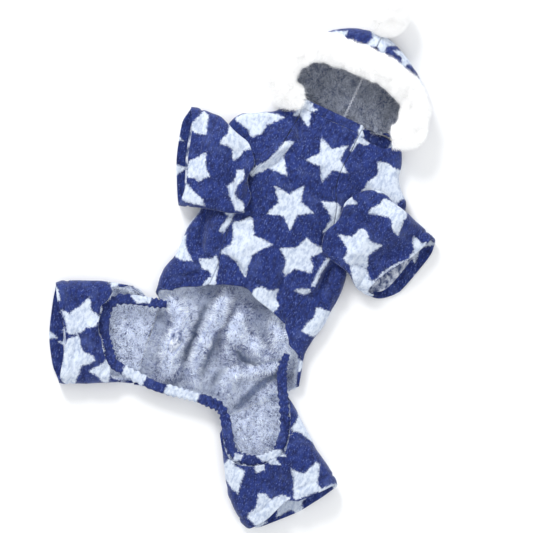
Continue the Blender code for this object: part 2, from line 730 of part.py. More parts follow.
def sleeve(side, place, sides, cuff_top, cuff_bottom, folds):
    """A sleeve, whose flat root lies on the body's top and whose cuff is out past its side."""
    across, along, angle = place
    origin = body_point(across, along)
    armhole = ARMHOLE_SPAN * BODICE_LENGTH / 2

    def base(x, y):
        rest = rest_height(x, y)
        return rest + LIE_GAP * smooth_step(rest / SIDE_RADIUS)

    return {
        "angle": angle,
        "origin": origin,
        "length": SLEEVE_LENGTH,
        "root_half": armhole,
        "cuff_half": SLEEVE_CUFF_HALF_WIDTH,
        "root_height": SLEEVE_ROOT_HEIGHT,
        "height": SLEEVE_HEIGHT,
        "full_at": SLEEVE_FULL_AT,
        "wall": SLEEVE_WALL,
        "wall_fades": SLEEVE_WALL_FADES,
        "root_bottom": lambda at: read_curve(SLEEVE_ROOT_BOTTOM, at),
        "root_top": lambda at: read_curve(SLEEVE_ROOT_TOP, at),
        "cuff_top": cuff_top,
        "cuff_bottom": cuff_bottom,
        "sides": sides,
        "base": base,
        "folds": folds,
        "outward": side,
    }


def seam_x(y, side):
    return section(spine_share(y), "left" if side < 0 else "right") * CHEST_HALF_WIDTH


def hind_leg(side, angle, sides, elastic, cuff_top, cuff_bottom, seam, folds):
    """A hind leg whose bottom starts along the rump's seam and whose top starts past the elastic."""
    ends = [np.array([float(seam_x(spine_y(along), side)), float(spine_y(along))]) for along in seam]
    leg = {
        "angle": angle,
        "origin": (ends[0] + ends[1]) / 2,
        "length": LEG_LENGTH,
        "root_half": np.linalg.norm(ends[0] - ends[1]) / 2 + SIDE_RADIUS,
        "cuff_half": LEG_CUFF_HALF_WIDTH,
        "root_height": LEG_HEIGHT,
        "height": LEG_HEIGHT,
        "full_at": LEG_FULL_AT,
        "wall": LEG_WALL,
        "wall_fades": LEG_WALL_FADES,
        "cuff_top": cuff_top,
        "cuff_bottom": cuff_bottom,
        "sides": sides,
        "base": lambda x, y: 0 * x,
        "folds": folds,
        "outward": side,
        "elastic": elastic,
    }

    def root_bottom(across):
        low = np.full(np.shape(across), -0.3)
        high = -low
        for _ in range(30):
            at = (low + high) / 2
            x, y = tube_plan(leg, at, across)
            inside = side * (x - seam_x(y, side)) < LEG_SEAM_GAP
            low = np.where(inside, at, low)
            high = np.where(inside, high, at)
        return (low + high) / 2

    def root_top(across):
        step = 0.02
        slope = (read_curve(elastic, across + step) - read_curve(elastic, across - step)) / (2 * step)
        slope = slope * LEG_LENGTH / leg["root_half"]
        clear = (ELASTIC_WIDTH / 2 + ELASTIC_CLEAR) * np.sqrt(1 + slope**2)
        return read_curve(elastic, across) + clear / LEG_LENGTH

    leg["root_bottom"] = root_bottom
    leg["root_top"] = root_top
    return leg


def all_tubes():
    """The four leg tubes by name."""
    sleeve_left = sleeve(
        -1.0,
        SLEEVE_LEFT_PLACE,
        SLEEVE_LEFT_SIDES,
        SLEEVE_LEFT_CUFF_TOP,
        SLEEVE_LEFT_CUFF_BOTTOM,
        SLEEVE_LEFT_FOLDS,
    )
    sleeve_right = sleeve(
        1.0,
        SLEEVE_RIGHT_PLACE,
        SLEEVE_RIGHT_SIDES,
        SLEEVE_RIGHT_CUFF_TOP,
        SLEEVE_RIGHT_CUFF_BOTTOM,
        SLEEVE_RIGHT_FOLDS,
    )
    hind_leg_left = hind_leg(
        -1.0,
        LEG_LEFT_DEGREES,
        LEG_LEFT_SIDES,
        LEG_LEFT_ELASTIC,
        LEG_LEFT_CUFF_TOP,
        LEG_LEFT_CUFF_BOTTOM,
        LEFT_SEAM,
        LEG_LEFT_FOLDS,
    )
    hind_leg_right = hind_leg(
        1.0,
        LEG_RIGHT_DEGREES,
        LEG_RIGHT_SIDES,
        LEG_RIGHT_ELASTIC,
        LEG_RIGHT_CUFF_TOP,
        LEG_RIGHT_CUFF_BOTTOM,
        RIGHT_SEAM,
        LEG_RIGHT_FOLDS,
    )
    return {
        "sleeve_left": sleeve_left,
        "sleeve_right": sleeve_right,
        "hind_leg_left": hind_leg_left,
        "hind_leg_right": hind_leg_right,
    }


def elastic_path(tubes):
    """The elastic's middle line, from the chest hem's left end round to its right end."""
    places = [body_point(across, along) for across, along in ELASTIC_STARTS]
    left = tubes["hind_leg_left"]
    for across in ELASTIC_LEFT_ACROSS:
        places.append(np.array(tube_plan(left, read_curve(left["elastic"], across), across)))
    for u in ELASTIC_REAR_ROUND:
        point = back_surface(np.array(u), np.array(1.0))
        places.append(np.array([point[0], point[1] + ELASTIC_REAR_ASIDE * ELASTIC_WIDTH]))
    right = tubes["hind_leg_right"]
    for across in ELASTIC_RIGHT_ACROSS:
        places.append(np.array(tube_plan(right, read_curve(right["elastic"], across), across)))
    for across, along in ELASTIC_STOPS:
        places.append(body_point(across, along))
    return places


def resample(places, count):
    """Even steps along a smooth curve through the places."""
    points = np.array(places)
    steps = np.linalg.norm(np.diff(points, axis=0), axis=1)
    lengths = np.concatenate([[0], np.cumsum(steps)])
    at = np.linspace(0, lengths[-1], count)
    tables = [list(zip(lengths, column)) for column in points.T]
    return np.stack([read_curve(table, at) for table in tables], axis=-1)


def sweep(name, path, ring, colour, sides):
    """A closed roll along a path of 3D points. ring(index, angle) gives out and up."""
    count = len(path)
    tangents = np.gradient(path, axis=0)
    points = []
    for index in range(count):
        tangent = tangents[index] / np.linalg.norm(tangents[index])
        out = np.array([tangent[1], -tangent[0], 0.0])
        out /= np.linalg.norm(out)
        up = np.cross(out, tangent)
        up *= 1 if up[2] > 0 else -1
        for side in range(sides):
            angle = 2 * math.pi * side / sides
            away, lift = ring(index, angle)
            points.append(tuple(path[index] + out * away + up * lift))
    faces = grid_faces(count, sides, wrap=True)
    faces.append(tuple(range(sides)))
    faces.append(tuple((count - 1) * sides + side for side in reversed(range(sides))))
    return add_object(name, points, faces, colour)


def make_belly_elastic(tubes):
    sides, steps = ELASTIC_GRID
    flat = resample(elastic_path(tubes), steps)
    level = SIDE_RADIUS * (1 - math.cos(math.pi * CROTCH_TURN)) + ELASTIC_HEIGHT / 2 + SEAM_GAP
    path = np.column_stack([flat, np.full(len(flat), level)])
    walked = np.concatenate([[0], np.cumsum(np.linalg.norm(np.diff(flat, axis=0), axis=1))])

    def ring(index, angle):
        gather = 1 - ELASTIC_GATHER_DEPTH * math.sin(math.pi * walked[index] / ELASTIC_GATHER) ** 2
        end = min(index, len(flat) - 1 - index)
        taper = min(1.0, ELASTIC_END + ELASTIC_END_GAIN * end)
        return (
            ELASTIC_WIDTH / 2 * gather * taper * math.cos(angle),
            ELASTIC_HEIGHT / 2 * gather * taper * math.sin(angle),
        )

    return sweep("belly_elastic", path, ring, PALE, sides)


def hood_read(degrees, column):
    return read_curve(HOOD_OUTLINE, degrees, column)


def hood_surface(u, v):
    """u in degrees round the hood's middle, v from 0 (middle) to 1 (the mouth's edge)."""
    angle = np.radians(u)
    to_neck = (HOOD_CENTRE[1] - 2 * SEAM_GAP) / np.maximum(-np.sin(angle), 1e-6)
    outer = np.minimum(hood_read(u, 1) * HOOD_RADIUS, to_neck)
    edge = np.minimum(hood_read(u, 2) * HOOD_RADIUS, to_neck)
    lift = np.maximum(hood_read(u, 3), 0.0) * HOOD_RISE
    curled = smooth_step(lift / (HOOD_CURLS * HOOD_RISE))
    t = np.clip((v - HOOD_FLOOR) / (1 - HOOD_FLOOR), 0.0, 1.05)
    floor = outer - HOOD_TURN
    corner = np.minimum(outer + HOOD_CORNER * HOOD_TURN, to_neck)
    turned = (1 - t) ** 3 * floor + 3 * (1 - t) * t * corner + t**3 * edge
    flat_floor = HOOD_FLOOR * outer
    flat = flat_floor + t * (outer - flat_floor)
    start = curled * floor + (1 - curled) * flat_floor
    past_floor = curled * turned + (1 - curled) * flat
    reach = np.where(v < HOOD_FLOOR, v / HOOD_FLOOR * start, past_floor)
    z = np.where(v < HOOD_FLOOR, 0.0, (3 * (1 - t) * t**2 * HOOD_BULGE + t**3) * lift)
    middle = hood_middle()
    x = middle[0] + reach * np.cos(angle)
    y = middle[1] + reach * np.sin(angle)
    return np.stack([x, y, z], axis=-1)


def hood_middle():
    return np.array([HOOD_CENTRE[0] * CHEST_HALF_WIDTH, BODICE_LENGTH + HOOD_CENTRE[1]])


def make_hood_half(name, first, last, shift):
    u = np.linspace(first, last, HOOD_COLUMNS)
    v = np.array(HOOD_STATIONS)

    def surface(uu, vv):
        return hood_surface(uu, vv) + np.array([shift, 0, 0])

    return cloth_sheet(name, surface, u, v, LINING, pole=True)


def trim_path():
    """The fur roll's middle line: just off the hood's edge, on the side that the mouth faces."""
    degrees = np.linspace(TRIM_ENDS[0], TRIM_ENDS[1], TRIM_GRID[1])
    off = TRIM_RADIUS + TRIM_LOCK + CLOTH / 2 + PANEL_GAP
    lean = np.radians(hood_read(degrees, 4))
    reach = hood_read(degrees, 2) * HOOD_RADIUS - off * np.cos(lean)
    middle = hood_middle()
    angle = np.radians(degrees)
    height = np.maximum(hood_read(degrees, 3), 0) * HOOD_RISE + off * np.sin(lean)
    x = middle[0] + reach * np.cos(angle)
    y = middle[1] + reach * np.sin(angle)
    return np.stack([x, y, height], axis=-1)


def make_fur_trim():
    path = trim_path()
    sides = TRIM_GRID[0]

    def ring(index, angle):
        end = min(index, len(path) - 1 - index)
        taper = min(1.0, TRIM_END + TRIM_END_GAIN * end)
        lock = TRIM_LOCK * ((index + round(angle / math.tau * sides)) % 2)
        radius = TRIM_RADIUS * taper + lock
        return radius * math.cos(angle), radius * TRIM_FLATTEN * math.sin(angle)

    return sweep("hood_fur_trim", path, ring, WHITE, sides)


def make_pompom():
    degrees, stations = np.meshgrid(np.linspace(*POMPOM_SEAT, SEAT_COLUMNS), HOOD_STATIONS)
    hood = hood_surface(degrees, stations).reshape(-1, 3)
    reach = POMPOM_RADIUS + SEAM_GAP
    centre_x = hood_middle()[0] + POMPOM_ASIDE * CHEST_HALF_WIDTH
    centre_z = POMPOM_RADIUS + POMPOM_LOCK + SEAM_GAP
    off_centre = (hood[:, 2] - centre_z) ** 2 + (hood[:, 0] - centre_x) ** 2
    near = off_centre < reach**2
    place = (centre_x, float((hood[near, 1] + np.sqrt(reach**2 - off_centre[near])).max()), centre_z)
    bm = bmesh.new()
    bmesh.ops.create_icosphere(bm, subdivisions=3, radius=POMPOM_RADIUS)
    for index, vert in enumerate(bm.verts):
        if index % POMPOM_LOCK_EVERY == 0 and vert.co.y > POMPOM_LOCKS_FROM * POMPOM_RADIUS:
            vert.co += vert.co.normalized() * POMPOM_LOCK
    bmesh.ops.translate(bm, verts=bm.verts, vec=place)
    mesh = bpy.data.meshes.new("pompom")
    bm.to_mesh(mesh)
    bm.free()
    mesh.shade_smooth()
    mesh.materials.append(make_material("pompom", WHITE))
    made = bpy.data.objects.new("pompom", mesh)
    bpy.context.scene.collection.objects.link(made)
    return made


def centre_on_floor():
    """Moves the whole part so that the middle of its bottom is at the origin."""
    made = [each for each in bpy.data.objects if each.type == "MESH"]
    corners = np.array([each.matrix_world @ vert.co for each in made for vert in each.data.vertices])
    low = corners.min(axis=0)
    high = corners.max(axis=0)
    for each in made:
        each.location = (-(low[0] + high[0]) / 2, -(low[1] + high[1]) / 2, -low[2])
    bpy.context.view_layer.update()


def main():
    clear_scene()
    make_back_panel()
    make_chest_panel()
    make_neck_band()
    tubes = all_tubes()
    for name, tube in tubes.items():
        make_tube(name, tube)
    make_belly_elastic(tubes)
    make_hood_half("hood_right_panel", -90, 90, SEAM_GAP / 2)
    make_hood_half("hood_left_panel", 90, 270, -SEAM_GAP / 2)
    make_fur_trim()
    make_pompom()
    centre_on_floor()


main()
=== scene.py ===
"""Looks of the hooded dog jumpsuit: every soft CAD node is replaced by a finer piece on the same surface."""

import math

import bpy
import numpy as np
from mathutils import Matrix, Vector


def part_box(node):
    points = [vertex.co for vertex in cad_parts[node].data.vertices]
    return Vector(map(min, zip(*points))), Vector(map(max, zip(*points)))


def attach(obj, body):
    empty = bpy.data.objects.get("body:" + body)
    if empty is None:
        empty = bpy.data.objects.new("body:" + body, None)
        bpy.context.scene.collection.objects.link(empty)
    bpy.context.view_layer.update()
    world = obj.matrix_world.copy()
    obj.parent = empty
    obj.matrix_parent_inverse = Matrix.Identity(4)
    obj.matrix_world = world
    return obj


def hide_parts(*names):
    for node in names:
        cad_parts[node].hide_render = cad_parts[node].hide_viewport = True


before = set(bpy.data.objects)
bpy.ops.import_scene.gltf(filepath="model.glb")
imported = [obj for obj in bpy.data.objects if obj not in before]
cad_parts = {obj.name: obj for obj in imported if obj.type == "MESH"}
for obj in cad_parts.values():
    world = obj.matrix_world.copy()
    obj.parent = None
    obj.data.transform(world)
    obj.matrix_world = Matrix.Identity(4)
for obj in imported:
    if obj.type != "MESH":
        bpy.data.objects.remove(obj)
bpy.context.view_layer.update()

# Cloth and clearances
CLOTH = 0.0025
SEAM_GAP = 0.0003
PANEL_GAP = 0.0013

# Body
BODICE_LENGTH = 0.200
RUMP_LENGTH = 0.120
CHEST_HALF_WIDTH = 0.100
CROWN_HEIGHT = 0.030
SIDE_RADIUS = 0.009
NECK_BAND_WIDTH = 0.009
ARMHOLE_SPAN = 0.34

# Share of the back panel's grid that curls up at the crotch
BACK_CURL_SHARE = 0.07
# Height, as a share of the side's radius, over which the heaps on the rump's floor fade out
FLOOR_FADES = 0.2
# How fast the heaps rise from the chest hem on, and how fast the folds fade towards the sides
HEAPS_RISE = 6
FOLDS_FADE = 4
# Turn from which the side's cloth runs on flat over the top
TAIL_STARTS = 0.9

# Front leg tubes
SLEEVE_LENGTH = 0.080
SLEEVE_CUFF_HALF_WIDTH = 0.050
SLEEVE_HEIGHT = 0.021
SLEEVE_ROOT_HEIGHT = 0.008
SLEEVE_DROP = 0.034
LIE_GAP = 0.0012
# Where the sleeve's height is full, and where its wall gives way to its top layer
SLEEVE_FULL_AT = 0.8
SLEEVE_WALL = 0.10
SLEEVE_WALL_FADES = 0.90
# Place of the root and direction. Columns: across, along, degrees.
SLEEVE_LEFT_PLACE = (-0.46, 0.50, 199)
SLEEVE_RIGHT_PLACE = (0.52, 0.51, -9)

# Hind leg tubes
LEG_LENGTH = 0.100
LEG_CUFF_HALF_WIDTH = 0.050
LEG_HEIGHT = 0.024
LEG_SEAM_GAP = 0.0010
LEG_FULL_AT = 1.0
LEG_WALL = 0.40
LEG_WALL_FADES = 0.12
LEG_LEFT_DEGREES = 202.5
LEG_RIGHT_DEGREES = -42
# Seams to the rump, from and to, along the spine
LEFT_SEAM = (-0.46, -1.0)
RIGHT_SEAM = (-0.62, -1.0)

# Section of a leg tube that lies flat, as shares of its half width and its height
TUBE_SIDE = 0.24
TUBE_CROWN = 0.10

# Gathered elastic round the belly opening
ELASTIC_WIDTH = 0.012
ELASTIC_HEIGHT = 0.006
ELASTIC_GATHER = 0.011
ELASTIC_CLEAR = 0.0008
# Its way round the opening: across and along the body, across each leg, and round the rump
ELASTIC_STARTS = ((-0.68, -0.37),)
ELASTIC_LEFT_ACROSS = (0.64, 0.46, 0.20, -0.10, -0.38, -0.62)
ELASTIC_REAR_ROUND = (-0.72, -0.40, -0.05, 0.30, 0.60)
ELASTIC_REAR_ASIDE = 0.1
ELASTIC_RIGHT_ACROSS = (-0.66, -0.42, -0.10, 0.24, 0.46, 0.60)
ELASTIC_STOPS = ((0.70, -0.56), (0.64, -0.44), (0.62, -0.32))

# Hood, its fur and its pompom
HOOD_RADIUS = 0.080
HOOD_RISE = 0.030
HOOD_TURN = 0.016
# Share of the way out from the middle that is flat, and the corner and bulge of the turned edge
HOOD_FLOOR = 0.5
HOOD_CORNER = 0.25
HOOD_BULGE = 0.9
# Share of the rise at which the edge counts as turned up
HOOD_CURLS = 0.2
TRIM_RADIUS = 0.0105
TRIM_LOCK = 0.0018
TRIM_GRID = (8, 45)

# Folds
FOLD_HEIGHT = 0.005
FOLD_WIDTH = 0.008

# Body sections from the neck (1) past the chest hem (0) to the crotch (-1).
# Columns: along, floor's left end, floor's right end, crown, left turn, right turn,
# left edge, right edge. The ends and edges are shares of the chest's half width.
BODY_SECTIONS = (
    (1.00, -0.36, 0.68, 0.80, 1.00, 1.00, -0.31, 0.36),
    (0.90, -0.40, 0.78, 0.84, 1.00, 1.00, -0.28, 0.35),
    (0.85, -0.54, 0.80, 0.90, 1.00, 1.00, -0.29, 0.35),
    (0.80, -0.72, 0.86, 0.96, 1.00, 1.00, -0.30, 0.34),
    (0.74, -0.79, 0.98, 1.00, 1.00, 1.00, -0.31, 0.34),
    (0.66, -0.80, 1.02, 1.00, 1.00, 1.00, -0.36, 0.37),
    (0.57, -0.78, 0.95, 0.98, 1.00, 1.00, -0.45, 0.46),
    (0.46, -0.76, 0.80, 0.96, 1.00, 1.00, -0.49, 0.52),
    (0.36, -0.72, 0.70, 0.94, 1.00, 1.00, -0.47, 0.58),
    (0.28, -0.69, 0.75, 0.94, 1.00, 1.00, -0.44, 0.59),
    (0.16, -0.73, 0.76, 0.92, 1.00, 1.00, -0.42, 0.57),
    (0.04, -0.72, 0.75, 0.90, 1.00, 1.00, -0.38, 0.51),
    (-0.05, -0.75, 0.73, 0.88, 1.00, 1.00, -0.38, 0.47),
    (-0.12, -0.77, 0.71, 0.84, 1.00, 1.00, -0.46, 0.49),
    (-0.18, -0.77, 0.70, 0.82, 1.00, 1.00, -0.60, 0.55),
    (-0.24, -0.76, 0.69, 0.80, 1.00, 1.00, -0.68, 0.60),
    (-0.30, -0.75, 0.70, 0.76, 0.60, 0.84, -0.68, 0.63),
    (-0.36, -0.74, 0.72, 0.75, 0.10, 0.72, -0.67, 0.64),
    (-0.42, -0.73, 0.74, 0.74, 0.00, 0.68, -0.66, 0.64),
    (-0.50, -0.72, 0.77, 0.72, 0.00, 0.60, -0.63, 0.68),
    (-0.57, -0.71, 0.79, 0.72, 0.00, 0.10, -0.62, 0.70),
    (-0.66, -0.70, 0.70, 0.72, 0.00, 0.00, -0.61, 0.61),
    (-0.78, -0.68, 0.58, 0.72, 0.00, 0.00, -0.59, 0.49),
    (-0.90, -0.66, 0.45, 0.72, 0.00, 0.00, -0.57, 0.36),
    (-1.00, -0.64, 0.34, 0.72, 0.00, 0.00, -0.55, 0.25),
)
SECTION_COLUMNS = (
    "along",
    "left",
    "right",
    "crown",
    "left_turn",
    "right_turn",
    "left_edge",
    "right_edge",
)

# How far the neck's edge drops below the neck line, round from the spine (0) to the seams.
# Columns: round, drop. Drops are shares of the bodice's length.
NECK_DROP_LEFT = ((0.00, 0.00), (0.45, 0.00), (0.62, 0.09), (0.80, 0.10), (1.00, 0.03))
NECK_DROP_RIGHT = (
    (0.00, 0.00),
    (0.50, 0.00),
    (0.60, 0.02),
    (0.70, 0.02),
    (0.82, 0.06),
    (0.92, 0.06),
    (1.00, 0.02),
)
NECK_DROP_FADES = 0.26

# The chest panel's hem, from its left seam (0) to its right (1). Columns: across, along.
CHEST_HEM = ((0.00, -0.07), (0.22, 0.00), (0.40, 0.02), (0.60, -0.02), (0.80, -0.05), (1.00, -0.10))
CHEST_SPAN = (-0.06, 0.955)

# The rump's lower edge, left to right. Columns: across, along past the crotch line.
CROTCH_EDGE = (
    (0.00, 0.02),
    (0.15, -0.03),
    (0.35, -0.06),
    (0.60, -0.10),
    (0.80, -0.10),
    (1.00, 0.00),
)
CROTCH_FADES = 0.30
CROTCH_TURN = 0.66

# Folds lie along straight lines. Columns: across, along, across, along, height, width.
CHEST_FOLDS = (
    (-0.22, 0.78, -0.50, 0.56, 0.60, 0.80),
    (-0.71, 0.30, -0.66, 0.08, -0.70, 0.60),
    (-0.56, 0.32, -0.55, 0.10, 0.80, 1.30),
    (-0.66, 0.00, -0.82, -0.20, 0.70, 1.40),
    (-0.33, 0.12, -0.09, 0.06, -0.50, 0.80),
    (0.62, 0.33, 0.58, 0.17, 0.60, 0.70),
    (0.28, 0.16, 0.28, 0.03, -0.60, 0.90),
    (0.42, 0.12, 0.57, 0.15, 0.50, 0.70),
    (0.17, 0.71, 0.25, 0.66, -0.50, 0.60),
    (0.60, 0.86, 0.66, 0.94, 0.60, 1.20),
    (0.46, 0.94, 0.52, 0.84, -0.60, 0.90),
    (-0.40, 0.66, -0.16, 0.50, 0.40, 1.50),
    (0.20, 0.52, 0.44, 0.40, 0.45, 1.40),
    (-0.10, 0.36, 0.20, 0.24, -0.40, 1.60),
)
RUMP_FOLDS = (
    (-0.63, -0.34, -0.44, -0.60, 1.10, 1.10),
    (-0.44, -0.60, -0.42, -0.88, 1.20, 1.00),
    (-0.60, -0.50, -0.62, -0.80, 0.60, 1.30),
    (-0.16, -0.04, -0.17, -0.84, 1.30, 0.70),
    (-0.03, -0.40, 0.32, -0.44, 0.80, 0.80),
    (-0.02, -0.36, 0.12, -0.70, 0.70, 0.80),
    (0.30, -0.40, 0.58, -0.46, 0.90, 1.10),
    (0.55, -0.60, 0.46, -0.84, 0.80, 0.80),
    (0.10, -0.20, 0.24, -0.34, 0.50, 1.40),
)

# Tubes of the legs. SIDES columns: along, share of the cuff's width, front, rear.
# EDGE columns: across (-1 rear to 1 front), along.
SLEEVE_LEFT_SIDES = (
    (0.00, 0.00, 1.12, -0.92),
    (0.20, 0.40, 1.22, -0.80),
    (0.45, 0.80, 1.36, -0.64),
    (0.70, 1.00, 1.38, -0.60),
    (1.00, 1.00, 1.46, -0.58),
)
SLEEVE_LEFT_CUFF_TOP = ((-1.00, 0.82), (-0.50, 0.76), (0.00, 0.77), (0.50, 0.76), (1.00, 0.80))
SLEEVE_LEFT_CUFF_BOTTOM = ((-1.00, 0.84), (-0.60, 0.88), (0.00, 0.92), (0.60, 0.90), (1.00, 0.80))

SLEEVE_RIGHT_SIDES = (
    (0.00, 0.00, 1.12, -0.94),
    (0.20, 0.40, 1.22, -0.86),
    (0.45, 0.80, 1.02, -0.76),
    (0.70, 1.00, 0.94, -0.88),
    (1.00, 1.00, 0.86, -0.82),
    (1.20, 1.00, 0.80, -0.70),
)
SLEEVE_RIGHT_CUFF_TOP = (
    (-1.00, 0.78),
    (-0.60, 0.82),
    (-0.20, 0.90),
    (0.20, 1.00),
    (0.60, 1.06),
    (1.00, 1.10),
)
SLEEVE_RIGHT_CUFF_BOTTOM = ((-1.00, 0.98), (-0.60, 1.14), (0.00, 1.18), (0.60, 1.20), (1.00, 1.16))

SLEEVE_ROOT_TOP = ((-1.00, 0.02), (-0.50, -0.05), (0.00, 0.00), (0.50, -0.05), (1.00, 0.02))
SLEEVE_ROOT_BOTTOM = ((-1.00, 0.10), (0.00, 0.13), (1.00, 0.10))

LEG_LEFT_SIDES = (
    (0.00, 0.00, 1.00, -0.98),
    (0.12, 0.30, 1.22, -0.93),
    (0.24, 0.50, 1.25, -0.89),
    (0.45, 0.80, 1.25, -0.86),
    (0.62, 1.00, 1.21, -0.87),
    (0.78, 1.00, 1.20, -0.88),
    (1.00, 1.00, 1.12, -0.86),
)
LEG_LEFT_CUFF_TOP = (
    (-1.00, 0.87),
    (-0.60, 0.85),
    (-0.15, 0.82),
    (0.25, 0.86),
    (0.60, 0.92),
    (1.00, 0.95),
)
LEG_LEFT_CUFF_BOTTOM = ((-1.00, 0.88), (-0.60, 0.96), (0.00, 1.00), (0.60, 0.98), (1.00, 0.95))
LEG_LEFT_ELASTIC = (
    (-1.00, 0.24),
    (-0.85, 0.30),
    (-0.60, 0.34),
    (-0.30, 0.40),
    (0.10, 0.45),
    (0.40, 0.44),
    (0.60, 0.37),
    (0.84, 0.30),
    (1.00, 0.14),
)

LEG_RIGHT_SIDES = (
    (0.00, 0.00, 0.80, -1.04),
    (0.25, 0.50, 0.80, -1.06),
    (0.47, 0.80, 0.78, -1.12),
    (0.62, 1.00, 0.77, -1.16),
    (0.75, 1.00, 0.81, -1.22),
    (0.95, 1.00, 0.88, -1.20),
    (1.17, 1.00, 0.84, -1.10),
)
LEG_RIGHT_CUFF_TOP = (
    (-1.00, 1.13),
    (-0.60, 1.11),
    (-0.30, 1.06),
    (-0.02, 1.01),
    (0.20, 1.06),
    (0.60, 1.06),
    (1.00, 1.05),
)
LEG_RIGHT_CUFF_BOTTOM = ((-1.00, 1.06), (-0.80, 1.16), (0.00, 1.17), (0.50, 1.14), (1.00, 1.09))
LEG_RIGHT_ELASTIC = (
    (-1.00, 0.18),
    (-0.80, 0.34),
    (-0.55, 0.46),
    (-0.10, 0.54),
    (0.25, 0.52),
    (0.48, 0.40),
    (0.66, 0.26),
    (0.84, 0.14),
    (1.00, 0.05),
)

# Folds of the tubes. Columns: along, across, along, across, height, width.
SLEEVE_LEFT_FOLDS = (
    (0.06, -0.50, 0.04, 0.20, 0.80, 0.60),
    (0.20, 0.75, 0.60, 0.30, 0.70, 1.00),
    (0.25, -0.30, 0.60, -0.50, -0.60, 0.90),
)
SLEEVE_RIGHT_FOLDS = (
    (0.05, 0.10, 0.30, 0.30, -0.50, 1.00),
    (0.35, -0.60, 0.75, -0.20, 0.60, 0.90),
    (0.30, 0.60, 0.90, 0.50, 0.50, 1.20),
)
LEG_LEFT_FOLDS = (
    (0.62, -0.90, 0.74, -0.10, -0.60, 0.60),
    (0.50, 0.50, 0.80, 0.80, 0.60, 1.10),
    (0.45, -0.40, 0.70, -0.60, 0.50, 0.90),
)
LEG_RIGHT_FOLDS = (
    (0.62, 0.10, 0.98, -0.10, -0.90, 0.70),
    (0.60, 0.60, 1.00, 0.70, 0.50, 1.20),
    (0.52, -0.20, 0.60, -0.50, 0.70, 0.80),
    (0.65, -0.60, 0.95, -0.40, 0.50, 1.00),
)

# The hood's mouth and outline round its middle. Columns: degrees, outer, edge, lift, lean.
# Outer and edge are shares of the hood's radius, lift of its rise, lean is in degrees.
HOOD_OUTLINE = (
    (-90, 0.33, 0.33, 0.00, 90),
    (-40, 0.51, 0.51, 0.00, 90),
    (-26, 0.74, 0.72, 0.30, 96),
    (-8, 0.94, 0.88, 0.36, 80),
    (14, 0.92, 0.84, 0.50, 60),
    (40, 0.82, 0.68, 0.80, 40),
    (66, 0.79, 0.60, 0.96, 25),
    (90, 0.83, 0.57, 1.00, 20),
    (114, 0.83, 0.60, 0.96, 25),
    (136, 0.84, 0.70, 0.84, 35),
    (158, 0.92, 0.86, 0.56, 60),
    (180, 1.01, 0.97, 0.40, 80),
    (190, 0.98, 0.95, 0.36, 95),
    (200, 0.84, 0.84, 0.34, 118),
    (208, 0.66, 0.67, 0.28, 128),
    (214, 0.54, 0.54, 0.00, 128),
    (232, 0.42, 0.42, 0.00, 90),
    (270, 0.33, 0.33, 0.00, 90),
)
HOOD_CENTRE = (0.14, 0.027)
TRIM_ENDS = (-26, 211)


def smooth_step(value):
    value = np.clip(value, 0.0, 1.0)
    return value * value * (3.0 - 2.0 * value)


def read_curve(table, at, column=1):
    """A smooth curve through the table's rows: cubic pieces that never pass the rows' own values."""
    rows = sorted(table)
    xs = np.array([row[0] for row in rows], float)
    ys = np.array([row[column] for row in rows], float)
    secants = np.diff(ys) / np.diff(xs)
    before = np.concatenate([secants[:1], secants])
    after = np.concatenate([secants, secants[-1:]])
    same = before * after > 0
    slopes = np.where(same, 2 * before * after / np.where(same, before + after, 1.0), 0.0)
    at = np.clip(at, xs[0], xs[-1])
    cell = np.clip(np.searchsorted(xs, at, side="right") - 1, 0, len(xs) - 2)
    width = xs[cell + 1] - xs[cell]
    t = (at - xs[cell]) / width
    return (
        (2 * t**3 - 3 * t**2 + 1) * ys[cell]
        + (t**3 - 2 * t**2 + t) * width * slopes[cell]
        + (3 * t**2 - 2 * t**3) * ys[cell + 1]
        + (t**3 - t**2) * width * slopes[cell + 1]
    )


def spine_y(along):
    """The spine's Y at a share: the bodice's length above the chest hem, the rump's below it."""
    return np.where(along >= 0, along * BODICE_LENGTH, along * RUMP_LENGTH)


def spine_share(y):
    return np.where(y >= 0, y / BODICE_LENGTH, y / RUMP_LENGTH)


def section(along, column):
    return read_curve(BODY_SECTIONS, along, SECTION_COLUMNS.index(column))


def fold_lift(x, y, folds):
    """Ridges and valleys along straight lines, fading out at their ends."""
    lift = np.zeros(np.broadcast(x, y).shape)
    for across_a, along_a, across_b, along_b, height, width in folds:
        ax = across_a * CHEST_HALF_WIDTH
        bx = across_b * CHEST_HALF_WIDTH
        ay = float(spine_y(along_a))
        by = float(spine_y(along_b))
        run = math.hypot(bx - ax, by - ay)
        tx = (bx - ax) / run
        ty = (by - ay) / run
        along = (x - ax) * tx + (y - ay) * ty
        aside = (x - ax) * ty - (y - ay) * tx
        past = np.maximum(np.maximum(-along, along - run), 0.0)
        reach = width * FOLD_WIDTH
        lift += height * FOLD_HEIGHT * np.exp(-(aside**2 + past**2) / (reach**2))
    return lift


def body_top(x, y):
    """Height of the body's outer face on its top side, without the turned sides."""
    along = spine_share(y)
    left = section(along, "left") * CHEST_HALF_WIDTH
    right = section(along, "right") * CHEST_HALF_WIDTH
    middle = (left + right) / 2
    from_middle = np.clip(np.abs(x - middle) / ((right - left) / 2), 0.0, 1.0)
    crown = section(along, "crown") * CROWN_HEIGHT - 2 * SIDE_RADIUS
    fade = smooth_step((1.0 - from_middle) * FOLDS_FADE)
    arch = crown * np.cos(from_middle * math.pi / 2) ** 2
    return 2 * SIDE_RADIUS + arch + fade * fold_lift(x, y, CHEST_FOLDS)


